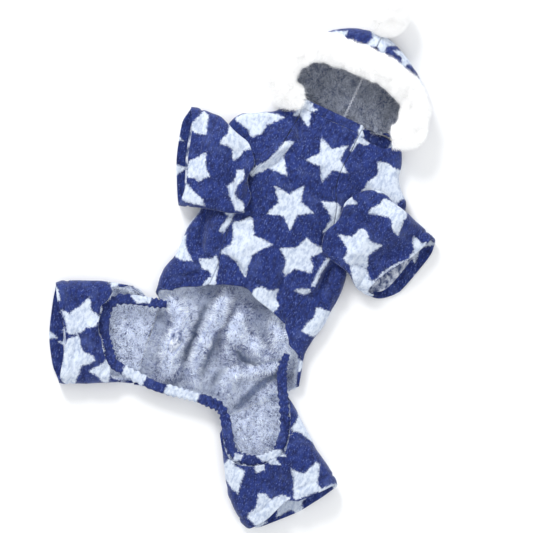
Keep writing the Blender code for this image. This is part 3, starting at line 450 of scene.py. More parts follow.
def side_reach(along, side):
    """Length of the cloth from the spine round to the panel's edge, on side -1 or 1."""
    name = "left" if side < 0 else "right"
    floor = side * section(along, name) * CHEST_HALF_WIDTH
    turn = np.clip(section(along, name + "_turn"), 0.0, 1.0)
    edge = side * section(along, name + "_edge") * CHEST_HALF_WIDTH
    tail = np.maximum(floor - edge, 0.0) * smooth_step((turn - TAIL_STARTS) / (1 - TAIL_STARTS))
    return floor + turn * math.pi * SIDE_RADIUS + tail


def wrapped_point(length, along, y, side):
    """The point that lies this far from the spine round the body, on side -1 or 1."""
    name = "left" if side < 0 else "right"
    floor = side * section(along, name) * CHEST_HALF_WIDTH
    angle = np.clip((length - floor) / SIDE_RADIUS, 0.0, math.pi)
    over = np.maximum(length - floor - math.pi * SIDE_RADIUS, 0.0)
    out = np.where(length < floor, length, floor + SIDE_RADIUS * np.sin(angle) - over)
    x = side * out
    turned = SIDE_RADIUS * (1 - np.cos(angle))
    top = body_top(x, y) - 2 * SIDE_RADIUS
    on_top = smooth_step((angle / math.pi - 0.5) * 2)
    return x, turned + top * on_top


def rump_floor(x, y, along):
    """Heaps of the inside's cloth on the rump's floor, flat along the seams to the hind legs."""
    left = section(along, "left") * CHEST_HALF_WIDTH
    right = section(along, "right") * CHEST_HALF_WIDTH
    inside = np.minimum(x - left, right - x) / (2 * SIDE_RADIUS)
    heaps = np.maximum(fold_lift(x, y, RUMP_FOLDS), 0.0)
    return smooth_step(inside) * smooth_step(-along * HEAPS_RISE) * heaps


def back_surface(u, v):
    """u from -1 (left edge) over 0 (spine) to 1 (right edge), v from 0 (neck) to 1 (crotch edge)."""
    floor_part = 1 - BACK_CURL_SHARE
    along = 1 - 2 * np.clip(v / floor_part, -0.01, 1.0)
    curl = np.clip((v - floor_part) / BACK_CURL_SHARE, 0.0, 1.1)
    y = spine_y(along)
    round_share = np.abs(u)
    drop_left = read_curve(NECK_DROP_LEFT, round_share)
    drop_right = read_curve(NECK_DROP_RIGHT, round_share)
    drop = np.where(u < 0, drop_left, drop_right)
    fade = smooth_step((along - 1 + NECK_DROP_FADES) / NECK_DROP_FADES)
    y = y - drop * BODICE_LENGTH * fade
    at = spine_share(y)
    left_x, left_z = wrapped_point(round_share * side_reach(at, -1), at, y, -1)
    right_x, right_z = wrapped_point(round_share * side_reach(at, 1), at, y, 1)
    x = np.where(u < 0, left_x, right_x)
    z = np.where(u < 0, left_z, right_z)
    on_floor = smooth_step(1 - z / (FLOOR_FADES * SIDE_RADIUS))
    z = z + on_floor * rump_floor(x, y, at)
    edge = read_curve(CROTCH_EDGE, (u + 1) / 2) * RUMP_LENGTH
    y = y - edge * smooth_step((CROTCH_FADES - 1 - along) / CROTCH_FADES)
    angle = curl * math.pi * CROTCH_TURN
    y = y - SIDE_RADIUS * np.sin(angle)
    z = z + SIDE_RADIUS * (1 - np.cos(angle))
    return np.stack([x, y, z], axis=-1)


def chest_surface(u, v):
    """u from 0 (left seam) to 1 (right seam), v from 0 (neck band) to 1 (hem)."""
    hem = spine_y(read_curve(CHEST_HEM, u))
    neck = spine_y(CHEST_SPAN[1] + 0 * u)
    y = neck + v * (hem - neck)
    along = spine_share(y)
    left = section(along, "left_edge") * CHEST_HALF_WIDTH + PANEL_GAP
    right = section(along, "right_edge") * CHEST_HALF_WIDTH - PANEL_GAP
    x = left + u * (right - left)
    return np.stack([x, y, body_top(x, y)], axis=-1)


def band_surface(u, v):
    """The strip over the chest panel's top edge, u as on the chest panel, v from 0 (neck) to 1."""
    low = CHEST_SPAN[1] * BODICE_LENGTH + SEAM_GAP
    y = low + (1 - v) * NECK_BAND_WIDTH
    along = spine_share(y)
    left = section(along, "left_edge") * CHEST_HALF_WIDTH + PANEL_GAP
    right = section(along, "right_edge") * CHEST_HALF_WIDTH - PANEL_GAP
    x = left + u * (right - left)
    return np.stack([x, y, body_top(x, y)], axis=-1)


def tube_section(u):
    """Shares of the half width and the height round a flat-lying tube.

    u runs from 0 (middle of the bottom) over 0.25 (front) and 0.5 (top) to 1.
    """
    half = 1 - np.abs(2 * (u % 1.0) - 1)
    front = np.where((u % 1.0) < 0.5, 1.0, -1.0)
    flat = 1 - TUBE_SIDE
    distance = half * (2 * flat + math.pi * TUBE_SIDE)
    angle = np.clip((distance - flat) / TUBE_SIDE, 0.0, math.pi)
    over = np.maximum(distance - flat - math.pi * TUBE_SIDE, 0.0)
    across = np.where(distance < flat, distance, flat + TUBE_SIDE * np.sin(angle) - over)
    rise = (1 - np.cos(angle)) / 2
    crown = TUBE_CROWN * np.cos(np.clip(across / flat, 0, 1) * math.pi / 2) ** 2
    return front * across, rise + np.where(over > 0, crown, 0.0)


def rest_height(x, y):
    """Height that a tube lies at: on the body's top, and then down past its side to the floor."""
    along = spine_share(y)
    left = section(along, "left") * CHEST_HALF_WIDTH
    right = section(along, "right") * CHEST_HALF_WIDTH
    outside = np.maximum(np.maximum(left - x, x - right), 0.0)
    return body_top(np.clip(x, left, right), y) * (1 - smooth_step(outside / SLEEVE_DROP))


def tube_plan(tube, along, across):
    """X and Y at shares along and across a tube."""
    turn = math.radians(tube["angle"])
    axis = (math.cos(turn), math.sin(turn))
    facing = 1 if axis[0] < 0 else -1
    share = np.clip(read_curve(tube["sides"], along, 1), 0, 1)
    half = tube["root_half"] + share * (tube["cuff_half"] - tube["root_half"])
    front = read_curve(tube["sides"], along, 2) * half
    rear = read_curve(tube["sides"], along, 3) * half
    lateral = (front + rear) / 2 + across * (front - rear) / 2
    x = tube["origin"][0] + axis[0] * along * tube["length"] + facing * axis[1] * lateral
    y = tube["origin"][1] + axis[1] * along * tube["length"] - facing * axis[0] * lateral
    return x, y


def tube_surface(tube):
    """The outer face of a leg tube, from its root (v = 0) to its cuff (v = 1)."""

    def surface(u, v):
        across, rise = tube_section(u)
        on_top = smooth_step((rise - tube["wall"]) / tube["wall_fades"])
        root = (1 - on_top) * tube["root_bottom"](across) + on_top * tube["root_top"](across)
        lifted = smooth_step(rise)
        cuff_bottom = read_curve(tube["cuff_bottom"], across)
        cuff_top = read_curve(tube["cuff_top"], across)
        cuff = (1 - lifted) * cuff_bottom + lifted * cuff_top
        along = root + v * (cuff - root)
        x, y = tube_plan(tube, along, across)
        gain = tube["height"] - tube["root_height"]
        height = tube["root_height"] + smooth_step(along / tube["full_at"]) * gain
        z = tube["base"](x, y) + height * rise
        for fold in tube["folds"]:
            z = z + lifted * tube_fold(along, across, fold)
        return np.stack([x, y, z], axis=-1)

    return surface


def tube_fold(along, across, fold):
    """A ridge on the tube's top, between two places given as along and across shares."""
    along_a, across_a, along_b, across_b, height, width = fold
    ta = (along_b - along_a) * LEG_LENGTH
    ca = (across_b - across_a) * LEG_CUFF_HALF_WIDTH
    run = math.hypot(ta, ca)
    da = (along - along_a) * LEG_LENGTH
    dc = (across - across_a) * LEG_CUFF_HALF_WIDTH
    lengthwise = (da * ta + dc * ca) / run
    sideways = (da * ca - dc * ta) / run
    past = np.maximum(np.maximum(-lengthwise, lengthwise - run), 0.0)
    return height * FOLD_HEIGHT * np.exp(-(sideways**2 + past**2) / (width * FOLD_WIDTH) ** 2)


def body_point(across, along):
    return np.array([across * CHEST_HALF_WIDTH, float(spine_y(along))])


def sleeve(side, place, sides, cuff_top, cuff_bottom, folds):
    """A sleeve, whose flat root lies on the body's top and whose cuff is out past its side."""
    across, along, angle = place
    origin = body_point(across, along)
    armhole = ARMHOLE_SPAN * BODICE_LENGTH / 2

    def base(x, y):
        rest = rest_height(x, y)
        return rest + LIE_GAP * smooth_step(rest / SIDE_RADIUS)

    return {
        "angle": angle,
        "origin": origin,
        "length": SLEEVE_LENGTH,
        "root_half": armhole,
        "cuff_half": SLEEVE_CUFF_HALF_WIDTH,
        "root_height": SLEEVE_ROOT_HEIGHT,
        "height": SLEEVE_HEIGHT,
        "full_at": SLEEVE_FULL_AT,
        "wall": SLEEVE_WALL,
        "wall_fades": SLEEVE_WALL_FADES,
        "root_bottom": lambda at: read_curve(SLEEVE_ROOT_BOTTOM, at),
        "root_top": lambda at: read_curve(SLEEVE_ROOT_TOP, at),
        "cuff_top": cuff_top,
        "cuff_bottom": cuff_bottom,
        "sides": sides,
        "base": base,
        "folds": folds,
        "outward": side,
    }


def seam_x(y, side):
    return section(spine_share(y), "left" if side < 0 else "right") * CHEST_HALF_WIDTH


def hind_leg(side, angle, sides, elastic, cuff_top, cuff_bottom, seam, folds):
    """A hind leg whose bottom starts along the rump's seam and whose top starts past the elastic."""
    ends = [np.array([float(seam_x(spine_y(along), side)), float(spine_y(along))]) for along in seam]
    leg = {
        "angle": angle,
        "origin": (ends[0] + ends[1]) / 2,
        "length": LEG_LENGTH,
        "root_half": np.linalg.norm(ends[0] - ends[1]) / 2 + SIDE_RADIUS,
        "cuff_half": LEG_CUFF_HALF_WIDTH,
        "root_height": LEG_HEIGHT,
        "height": LEG_HEIGHT,
        "full_at": LEG_FULL_AT,
        "wall": LEG_WALL,
        "wall_fades": LEG_WALL_FADES,
        "cuff_top": cuff_top,
        "cuff_bottom": cuff_bottom,
        "sides": sides,
        "base": lambda x, y: 0 * x,
        "folds": folds,
        "outward": side,
        "elastic": elastic,
    }

    def root_bottom(across):
        low = np.full(np.shape(across), -0.3)
        high = -low
        for _ in range(30):
            at = (low + high) / 2
            x, y = tube_plan(leg, at, across)
            inside = side * (x - seam_x(y, side)) < LEG_SEAM_GAP
            low = np.where(inside, at, low)
            high = np.where(inside, high, at)
        return (low + high) / 2

    def root_top(across):
        step = 0.02
        slope = (read_curve(elastic, across + step) - read_curve(elastic, across - step)) / (2 * step)
        slope = slope * LEG_LENGTH / leg["root_half"]
        clear = (ELASTIC_WIDTH / 2 + ELASTIC_CLEAR) * np.sqrt(1 + slope**2)
        return read_curve(elastic, across) + clear / LEG_LENGTH

    leg["root_bottom"] = root_bottom
    leg["root_top"] = root_top
    return leg


def all_tubes():
    """The four leg tubes by name."""
    left = (-1.0, SLEEVE_LEFT_PLACE, SLEEVE_LEFT_SIDES, SLEEVE_LEFT_CUFF_TOP)
    right = (1.0, SLEEVE_RIGHT_PLACE, SLEEVE_RIGHT_SIDES, SLEEVE_RIGHT_CUFF_TOP)
    leg_left = (-1.0, LEG_LEFT_DEGREES, LEG_LEFT_SIDES, LEG_LEFT_ELASTIC, LEG_LEFT_CUFF_TOP)
    leg_right = (1.0, LEG_RIGHT_DEGREES, LEG_RIGHT_SIDES, LEG_RIGHT_ELASTIC, LEG_RIGHT_CUFF_TOP)
    return {
        "sleeve_left": sleeve(*left, SLEEVE_LEFT_CUFF_BOTTOM, SLEEVE_LEFT_FOLDS),
        "sleeve_right": sleeve(*right, SLEEVE_RIGHT_CUFF_BOTTOM, SLEEVE_RIGHT_FOLDS),
        "hind_leg_left": hind_leg(*leg_left, LEG_LEFT_CUFF_BOTTOM, LEFT_SEAM, LEG_LEFT_FOLDS),
        "hind_leg_right": hind_leg(*leg_right, LEG_RIGHT_CUFF_BOTTOM, RIGHT_SEAM, LEG_RIGHT_FOLDS),
    }


def elastic_path(tubes):
    """The elastic's middle line, from the chest hem's left end round to its right end."""
    places = [body_point(across, along) for across, along in ELASTIC_STARTS]
    left = tubes["hind_leg_left"]
    for across in ELASTIC_LEFT_ACROSS:
        places.append(np.array(tube_plan(left, read_curve(left["elastic"], across), across)))
    for u in ELASTIC_REAR_ROUND:
        point = back_surface(np.array(u), np.array(1.0))
        places.append(np.array([point[0], point[1] + ELASTIC_REAR_ASIDE * ELASTIC_WIDTH]))
    right = tubes["hind_leg_right"]
    for across in ELASTIC_RIGHT_ACROSS:
        places.append(np.array(tube_plan(right, read_curve(right["elastic"], across), across)))
    for across, along in ELASTIC_STOPS:
        places.append(body_point(across, along))
    return places


def resample(places, count):
    """Even steps along a smooth curve through the places."""
    points = np.array(places)
    steps = np.linalg.norm(np.diff(points, axis=0), axis=1)
    lengths = np.concatenate([[0], np.cumsum(steps)])
    at = np.linspace(0, lengths[-1], count)
    tables = [list(zip(lengths, column)) for column in points.T]
    return np.stack([read_curve(table, at) for table in tables], axis=-1)


def hood_read(degrees, column):
    return read_curve(HOOD_OUTLINE, degrees, column)


def hood_surface(u, v):
    """u in degrees round the hood's middle, v from 0 (middle) to 1 (the mouth's edge)."""
    angle = np.radians(u)
    to_neck = (HOOD_CENTRE[1] - 2 * SEAM_GAP) / np.maximum(-np.sin(angle), 1e-6)
    outer = np.minimum(hood_read(u, 1) * HOOD_RADIUS, to_neck)
    edge = np.minimum(hood_read(u, 2) * HOOD_RADIUS, to_neck)
    lift = np.maximum(hood_read(u, 3), 0.0) * HOOD_RISE
    curled = smooth_step(lift / (HOOD_CURLS * HOOD_RISE))
    t = np.clip((v - HOOD_FLOOR) / (1 - HOOD_FLOOR), 0.0, 1.05)
    floor = outer - HOOD_TURN
    corner = np.minimum(outer + HOOD_CORNER * HOOD_TURN, to_neck)
    turned = (1 - t) ** 3 * floor + 3 * (1 - t) * t * corner + t**3 * edge
    flat_floor = HOOD_FLOOR * outer
    flat = flat_floor + t * (outer - flat_floor)
    start = curled * floor + (1 - curled) * flat_floor
    past_floor = curled * turned + (1 - curled) * flat
    reach = np.where(v < HOOD_FLOOR, v / HOOD_FLOOR * start, past_floor)
    z = np.where(v < HOOD_FLOOR, 0.0, (3 * (1 - t) * t**2 * HOOD_BULGE + t**3) * lift)
    middle = hood_middle()
    x = middle[0] + reach * np.cos(angle)
    y = middle[1] + reach * np.sin(angle)
    return np.stack([x, y, z], axis=-1)


def hood_middle():
    return np.array([HOOD_CENTRE[0] * CHEST_HALF_WIDTH, BODICE_LENGTH + HOOD_CENTRE[1]])


def trim_path():
    """The fur roll's middle line: just off the hood's edge, on the side that the mouth faces."""
    degrees = np.linspace(TRIM_ENDS[0], TRIM_ENDS[1], TRIM_GRID[1])
    off = TRIM_RADIUS + TRIM_LOCK + CLOTH / 2 + PANEL_GAP
    lean = np.radians(hood_read(degrees, 4))
    reach = hood_read(degrees, 2) * HOOD_RADIUS - off * np.cos(lean)
    middle = hood_middle()
    angle = np.radians(degrees)
    height = np.maximum(hood_read(degrees, 3), 0) * HOOD_RISE + off * np.sin(lean)
    x = middle[0] + reach * np.cos(angle)
    y = middle[1] + reach * np.sin(angle)
    return np.stack([x, y, height], axis=-1)


# The finer pieces lie on the CAD's own surfaces, moved to the frame's origin.
SHIFT = np.array([
    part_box("hood_right_panel")[0][0] - HOOD_CENTRE[0] * CHEST_HALF_WIDTH - SEAM_GAP / 2,
    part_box("back_panel")[1][1] - BODICE_LENGTH,
    0.0,
])
# The charts below were read off the photograph in millimetres, with this offset to the body's own axes.
CHART = np.array([17.0, 22.0])
MM = 0.001

# Noise and meshes


def noise(points, size, seed=0):
    """Smooth value noise from -1 to 1, with features about size across."""
    q = np.asarray(points) / size + 37.0 * (seed + 1)
    cell = np.floor(q).astype(np.int64)
    f = q - cell
    f = f * f * (3 - 2 * f)
    total = np.zeros(q.shape[:-1])
    for corner in range(8):
        offset = np.array([corner & 1, corner >> 1 & 1, corner >> 2 & 1])
        at = cell + offset
        mixed = at[..., 0] * 73856093 ^ at[..., 1] * 19349663 ^ at[..., 2] * 83492791 ^ (seed + 11) * 2654435
        mixed = (mixed ^ (mixed >> 13)) * 1274126177 & 0x7FFFFFFF
        value = ((mixed ^ (mixed >> 16)) & 0xFFFF) / 32767.5 - 1
        weight = np.prod(np.where(offset == 1, f, 1 - f), axis=-1)
        total += value * weight
    return total


def fractal(points, size, seed=0, octaves=3):
    total = 0
    for octave in range(octaves):
        total = total + noise(points, size / 2**octave, seed + 5 * octave) / 2**octave
    return total


def grid_normals(points, wrap):
    """Unit normals of a grid of points (rows, columns, 3)."""
    if wrap:
        across = np.roll(points, -1, axis=1) - np.roll(points, 1, axis=1)
    else:
        across = np.gradient(points, axis=1)
    along = np.gradient(points, axis=0)
    normal = np.cross(across, along)
    length = np.linalg.norm(normal, axis=-1, keepdims=True)
    return normal / np.maximum(length, 1e-12)


def quads(rows, columns, wrap):
    """Quads over a grid of points, joined round the columns where wrap is set."""
    last = columns if wrap else columns - 1
    row, column = np.meshgrid(np.arange(rows - 1), np.arange(last), indexing="ij")
    after = (column + 1) % columns
    here = row * columns
    above = here + columns
    corners = [here + column, here + after, above + after, above + column]
    return np.stack(corners, axis=-1).reshape(-1, 4)


def mesh_from(name, points, faces, materials, index=None):
    """A mesh object from arrays. faces are quads or triangles."""
    mesh = bpy.data.meshes.new(name)
    sides = faces.shape[1]
    mesh.vertices.add(len(points))
    mesh.vertices.foreach_set("co", np.ascontiguousarray(points, np.float32).ravel())
    mesh.loops.add(len(faces) * sides)
    mesh.loops.foreach_set("vertex_index", np.ascontiguousarray(faces, np.int32).ravel())
    mesh.polygons.add(len(faces))
    mesh.polygons.foreach_set("loop_start", np.arange(0, len(faces) * sides, sides, dtype=np.int32))
    for material in materials:
        mesh.materials.append(material)
    if index is not None:
        mesh.polygons.foreach_set("material_index", np.ascontiguousarray(index, np.int32))
    mesh.update(calc_edges=True)
    mesh.validate()
    mesh.shade_smooth()
    made = bpy.data.objects.new(name, mesh)
    bpy.context.scene.collection.objects.link(made)
    return made


# The star print

STAR_SIZE = 24.0
STAR_WAIST = 0.47
STAR_PITCH = 56.0
# The hidden side's lattice: rows and columns each way, row pitch and nudge
LATTICE_ROWS = 7
LATTICE_COLUMNS = 5
LATTICE_RISE = 0.86
LATTICE_NUDGE = 5
# Distance past an outline, in millimetres, over which the print's depth is worked out
PRINT_REACH = 12
# The chart's share of the way that the cloth turns on the sides, and the tilts that it ends at
SIDE_WRAP = 0.6
WRAP_ENDS = 0.70
UNDERSIDE = 0.62
# Whole stars seen on each piece. Columns: x, y, degrees of one tip, size.
STARS = {
    "body": ((-15, 74.8, 8, 1.03), (1.0, 133, 62, 0.98), (-43, 169, 20, 0.55)),
    "sleeve_left": (),
    "sleeve_right": (),
    "hind_leg_left": ((-180, -66, 40, 0.5),),
    "hind_leg_right": (),
    "hood": (
        (-46, 247, 30, 0.42),
        (-2, 264, 10, 0.75),
        (30, 262, 45, 0.7),
        (-84, 222, 20, 0.7),
        (78, 214, 60, 0.8),
        (-62, 238, 5, 0.6),
        (58, 240, 28, 0.8),
        (80, 178, 40, 0.7),
    ),
    "elastic": ((-2, -18, 10, 0.5),),
}
# Stars that folds, hems and seams cut short. Each is one outline, x and y in turn.
PATCHES = {
    "body": (
        (-38, 135, -42, 118, -30, 101, -50, 100, -57, 92, -62, 85, -66, 88, -62, 96, -55, 105, -50,
         118, -47, 131),
        (-104, 132, -92, 147, -75, 152, -57, 153, -65, 144, -70, 138, -71, 128, -79, 121, -86, 127,
         -98, 129),
        (-54, 169, -46, 174, -37, 178, -36, 170, -33, 160, -31, 154, -36, 156, -44, 161),
        (15, 179, 25, 178, 23, 171, 21, 168, 31, 165, 30, 163, 20, 160, 18, 150, 16, 150, 17, 160,
         17, 168, 15, 172),
        (46, 152, 55, 155, 66, 153, 80, 158, 98, 140, 88, 131, 82, 126, 81, 118, 66, 118, 58, 122,
         44, 118, 46, 131, 52, 140),
        (12, 92, 20, 95, 24, 97, 31, 96, 36, 84, 39, 71, 33, 69, 26, 64, 27, 74, 29, 81, 22, 86, 16, 89),
        (-45, 49, -40, 42, -35, 33, -22, 33, -14, 32, -20, 26, -28, 15, -28, 4, -25, -9, -30, -6,
         -40, 2, -50, 4,
         -59, 3, -56, 10, -52, 14, -53, 22, -60, 36, -53, 40, -48, 47),
        (14, 53, 24, 50, 38, 52, 32, 45, 26, 38, 27, 34, 32, 30, 33, 23, 25, 22, 16, 20, 10, 9, 7,
         13, 5, 24, -6, 32,
         8, 39, 11, 45),
        (44, 46, 40, 42, 38.5, 28, 38.5, 12, 42, 12, 42, 28, 43.5, 38),
        (25, 0, 30, 5, 39, 8, 40, 4, 34, 0),
        (-12, -15, -7, -10, 2, -11, 10, -5, 11, -15, 18, -20, 15, -30, 8, -33, -4, -32, -12, -24),
        (-75, -12, -64, -6, -61, -1, -57, -4, -53, -14, -50, -26, -48, -34, -60, -38, -60, -28, -56,
         -22, -60, -18, -68, -19),
        (-106, 2, -97, 5, -95, -2, -88, -10, -80, -16, -90, -20, -108, -18),
        (-112, 48, -100, 44, -94, 41, -96, 30, -99, 18, -101, 8, -114, 8, -118, 30),
        (52, -5, 70, -4, 70, -20, 64, -34, 49, -34, 50, -24, 54, -17),
        (-77, 60, -60, 56, -54, 50, -61, 46, -62, 40, -70, 40, -72, 47),
        (-66, 39, -61, 39, -64, 22, -69, 22),
        (50, -64, 58, -60, 68, -61, 66, -70, 57, -76, 51, -71),
        (66, 50, 80, 51, 84, 30, 72, 28, 66, 38),
    ),
    "sleeve_left": (
        (-106, 133, -100, 130, -88, 127, -80, 123, -66, 111, -76, 109, -80, 105, -81, 98, -85, 92,
         -88, 95, -90, 101,
         -97, 103, -104, 101, -104, 108, -101, 114, -104, 123),
        (-133, 126, -127, 123, -121, 104, -130, 101, -140, 102),
        (-113, 88, -110, 80, -107, 74, -100, 68, -104, 63, -108, 58, -113, 60, -120, 57, -124, 66,
         -125, 73, -119, 80),
        (-78, 85, -72, 88, -68, 80, -71, 72, -70, 62, -66, 59, -58, 58, -53, 50, -62, 48, -68, 53,
         -75, 60, -80, 67,
         -76, 73, -76, 80),
        (-128, 50, -118, 52, -106, 46, -96, 44, -92, 38, -112, 34, -126, 40),
        (-74, 150, -58, 152, -66, 143, -70, 137, -72, 146),
    ),
    "sleeve_right": (
        (17, 110, 23, 117, 30, 121, 37, 117, 33, 113, 38, 108, 45, 105, 38, 101, 33, 97, 30, 91, 22,
         101),
        (57, 82, 61, 85, 66, 83, 70, 78, 75, 76, 86, 78, 81, 71, 78, 66, 77, 62, 81, 53, 80, 49, 72,
         51, 66, 47, 61, 47,
         56, 50, 56, 57, 54, 61, 49, 65, 41, 69, 48, 71, 54, 73, 56, 77),
        (67, 121, 80, 124, 92, 124, 96, 114, 94, 110, 95, 102, 95, 93, 90, 95, 86, 98, 83, 104, 79,
         106, 70, 104,
         58, 101, 60, 107, 65, 113),
        (110, 99, 115, 99, 120, 96, 124, 99, 126, 91, 121, 84, 117, 84, 116, 88, 112, 93),
        (116, 86, 120, 84, 118, 78, 111, 71, 104, 62, 98, 50, 94, 44, 96, 52, 102, 62, 109, 71, 115, 77),
        (64, 48, 72, 51, 82, 49, 88, 42, 97, 43, 106, 34, 98, 24, 80, 24, 72, 34),
        (52, 152, 66, 152, 70, 128, 60, 124, 50, 126),
    ),
    "hind_leg_left": (
        (-158, -92, -155, -96, -150, -104, -142, -105, -129, -101, -130, -107, -139, -110, -140,
         -117, -148, -121,
         -150, -128, -155, -131, -160, -135, -164, -133, -168, -125, -178, -116, -174, -115, -168,
         -116, -168, -112,
         -162, -104),
        (-160, -140, -152, -132, -149, -134, -145, -141, -140, -144, -130, -144, -126, -147, -130,
         -153, -136, -158,
         -135, -166, -134, -182, -142, -184, -152, -176, -155, -160, -160, -146),
        (-117, -138, -110, -131, -105, -136, -100, -140, -104, -146, -107, -152, -105, -158, -104,
         -168, -118, -160,
         -127, -160, -122, -152, -117, -146),
        (-130, -122, -119, -116, -121, -121),
        (-148, -68, -138, -62, -136, -73, -138, -78),
        (-119, -58, -98, -52, -101, -64, -101, -72, -110, -74, -119, -73),
        (-196, -96, -190, -98, -183, -107, -188, -114, -198, -108),
    ),
    "hind_leg_right": (
        (117, -146, 121, -146, 124, -155, 127, -165, 134, -168, 130, -173, 120, -183, 115, -189, 111,
         -187, 107, -178,
         104, -172, 97, -162, 105, -163, 112, -160, 114, -153),
        (131, -170, 140, -160, 152, -153, 150, -163, 135, -178),
        (78, -198, 84, -196, 92, -199, 100, -190, 109, -189, 106, -200, 100, -214, 96, -227, 90,
         -229, 77, -225, 79, -218,
         82, -213, 80, -206),
        (60, -163, 66, -158, 74, -155, 77, -157, 80, -161, 86, -163, 78, -167, 72, -166, 70, -168,
         73, -175, 68, -181,
         64, -178, 61, -170),
        (73, -152, 80, -149, 88, -153, 82, -156, 76, -156),
        (40, -173, 48, -170, 48, -176, 42, -183, 50, -184, 56, -184, 58, -200, 60, -208, 50, -205,
         38, -200, 32, -188,
         36, -182),
        (80, -105, 90, -108, 100, -110, 108, -119, 116, -130, 100, -128, 90, -126, 83, -128, 80,
         -126, 82, -118, 82, -110),
    ),
    "hood": (
        (-48, 240, -42, 238, -36, 250, -37, 258, -46, 254),
        (-10, 256, -4, 256, 1, 264, 1, 278, -8, 272),
    ),
    "elastic": (
        (-119, -58, -101, -56, -101, -72, -112, -78, -121, -74),
        (-90, -50, -87, -40, -82, -34, -76, -33, -70, -36, -66, -42, -70, -52, -80, -56),
        (-60, -18, -56, -12, -50, -26, -48, -34, -60, -38),
        (-12, -15, 18, -14, 20, -30, 8, -34, -12, -28),
        (-98, -134, -84, -126, -72, -128, -73, -152, -84, -158, -96, -150),
        (-52, -124, -18, -122, -16, -146, -50, -150),
        (50, -64, 68, -60, 68, -74, 57, -77, 51, -71),
        (40, -173, 48, -170, 48, -176, 42, -183),
        (60, -166, 66, -156, 80, -150, 88, -153, 80, -162, 70, -168),
    ),
}


def star_outline(x, y, turn, size):
    """A five-pointed star, with one tip at turn degrees."""
    corners = []
    for step in range(10):
        reach = size * STAR_SIZE * (1 if step % 2 == 0 else STAR_WAIST)
        angle = math.radians(turn + 36 * step)
        corners.append((x + reach * math.cos(angle), y + reach * math.sin(angle)))
    return np.array(corners)


def back_stars():
    """The same print seen from below: a staggered lattice, each star turned its own way."""
    outlines = []
    for row in range(-LATTICE_ROWS, LATTICE_ROWS + 1):
        for column in range(-LATTICE_COLUMNS, LATTICE_COLUMNS + 1):
            x = (column + 0.5 * (row % 2)) * STAR_PITCH
            y = row * STAR_PITCH * LATTICE_RISE
            nudge = LATTICE_NUDGE * math.sin(3.1 * row + 1.7 * column)
            outlines.append(star_outline(x + nudge, y - nudge, (row * 31 + column * 47) % 72, 1.0))
    return outlines


def depth_in(outline, places):
    """How far inside one closed outline the places lie, in millimetres, less than 0 outside."""
    nearest = np.full(len(places), 1e9)
    inside = np.zeros(len(places), bool)
    for start, end in zip(outline, np.roll(outline, -1, axis=0)):
        step = end - start
        off = places - start
        t = np.clip(off @ step / (step @ step), 0, 1)
        nearest = np.minimum(nearest, ((off - t[:, None] * step) ** 2).sum(axis=1))
        crosses = (start[1] > places[:, 1]) != (end[1] > places[:, 1])
        rise = np.where(abs(step[1]) < 1e-9, 1e-9, step[1])
        inside ^= crosses & (places[:, 0] < start[0] + (places[:, 1] - start[1]) / rise * step[0])
    return np.where(inside, 1, -1) * np.sqrt(nearest)


def print_depth(outlines, places):
    """How far inside the nearest star each place lies, in millimetres, and less than 0 between stars."""
    best = np.full(len(places), -float(PRINT_REACH))
    for outline in outlines:
        low = outline.min(axis=0) - PRINT_REACH
        high = outline.max(axis=0) + PRINT_REACH
        near = ((places > low) & (places < high)).all(axis=1)
        if near.any():
            best[near] = np.maximum(best[near], depth_in(outline, places[near]))
    return best


def top_outlines(chart):
    whole = [star_outline(*row) for row in STARS[chart]]
    return whole + [np.array(row, float).reshape(-1, 2) for row in PATCHES[chart]]


def star_print(points, normals, chart):
    """The print's depth at points in the frame's axes. The sides take the chart laid on like cloth."""
    flat = (points[:, :2] - SHIFT[:2]) / MM - CHART
    aside = normals[:, :2]
    size = np.linalg.norm(aside, axis=1, keepdims=True)
    tilt = np.arccos(np.clip(normals[:, 2], -1, 1))[:, None]
    turn = np.minimum(tilt, math.pi * WRAP_ENDS)
    laid = flat + aside / np.maximum(size, 1e-6) * SIDE_WRAP * SIDE_RADIUS / MM * (turn - np.sin(turn))
    above = print_depth(top_outlines(chart), laid)
    below = print_depth(back_stars(), flat)
    return np.where(tilt[:, 0] < math.pi * UNDERSIDE, above, below)


def add_print(made, depth):
    attribute = made.data.attributes.new("print", "FLOAT", "POINT")
    attribute.data.foreach_set("value", np.ascontiguousarray(depth, np.float32))


# Node helpers


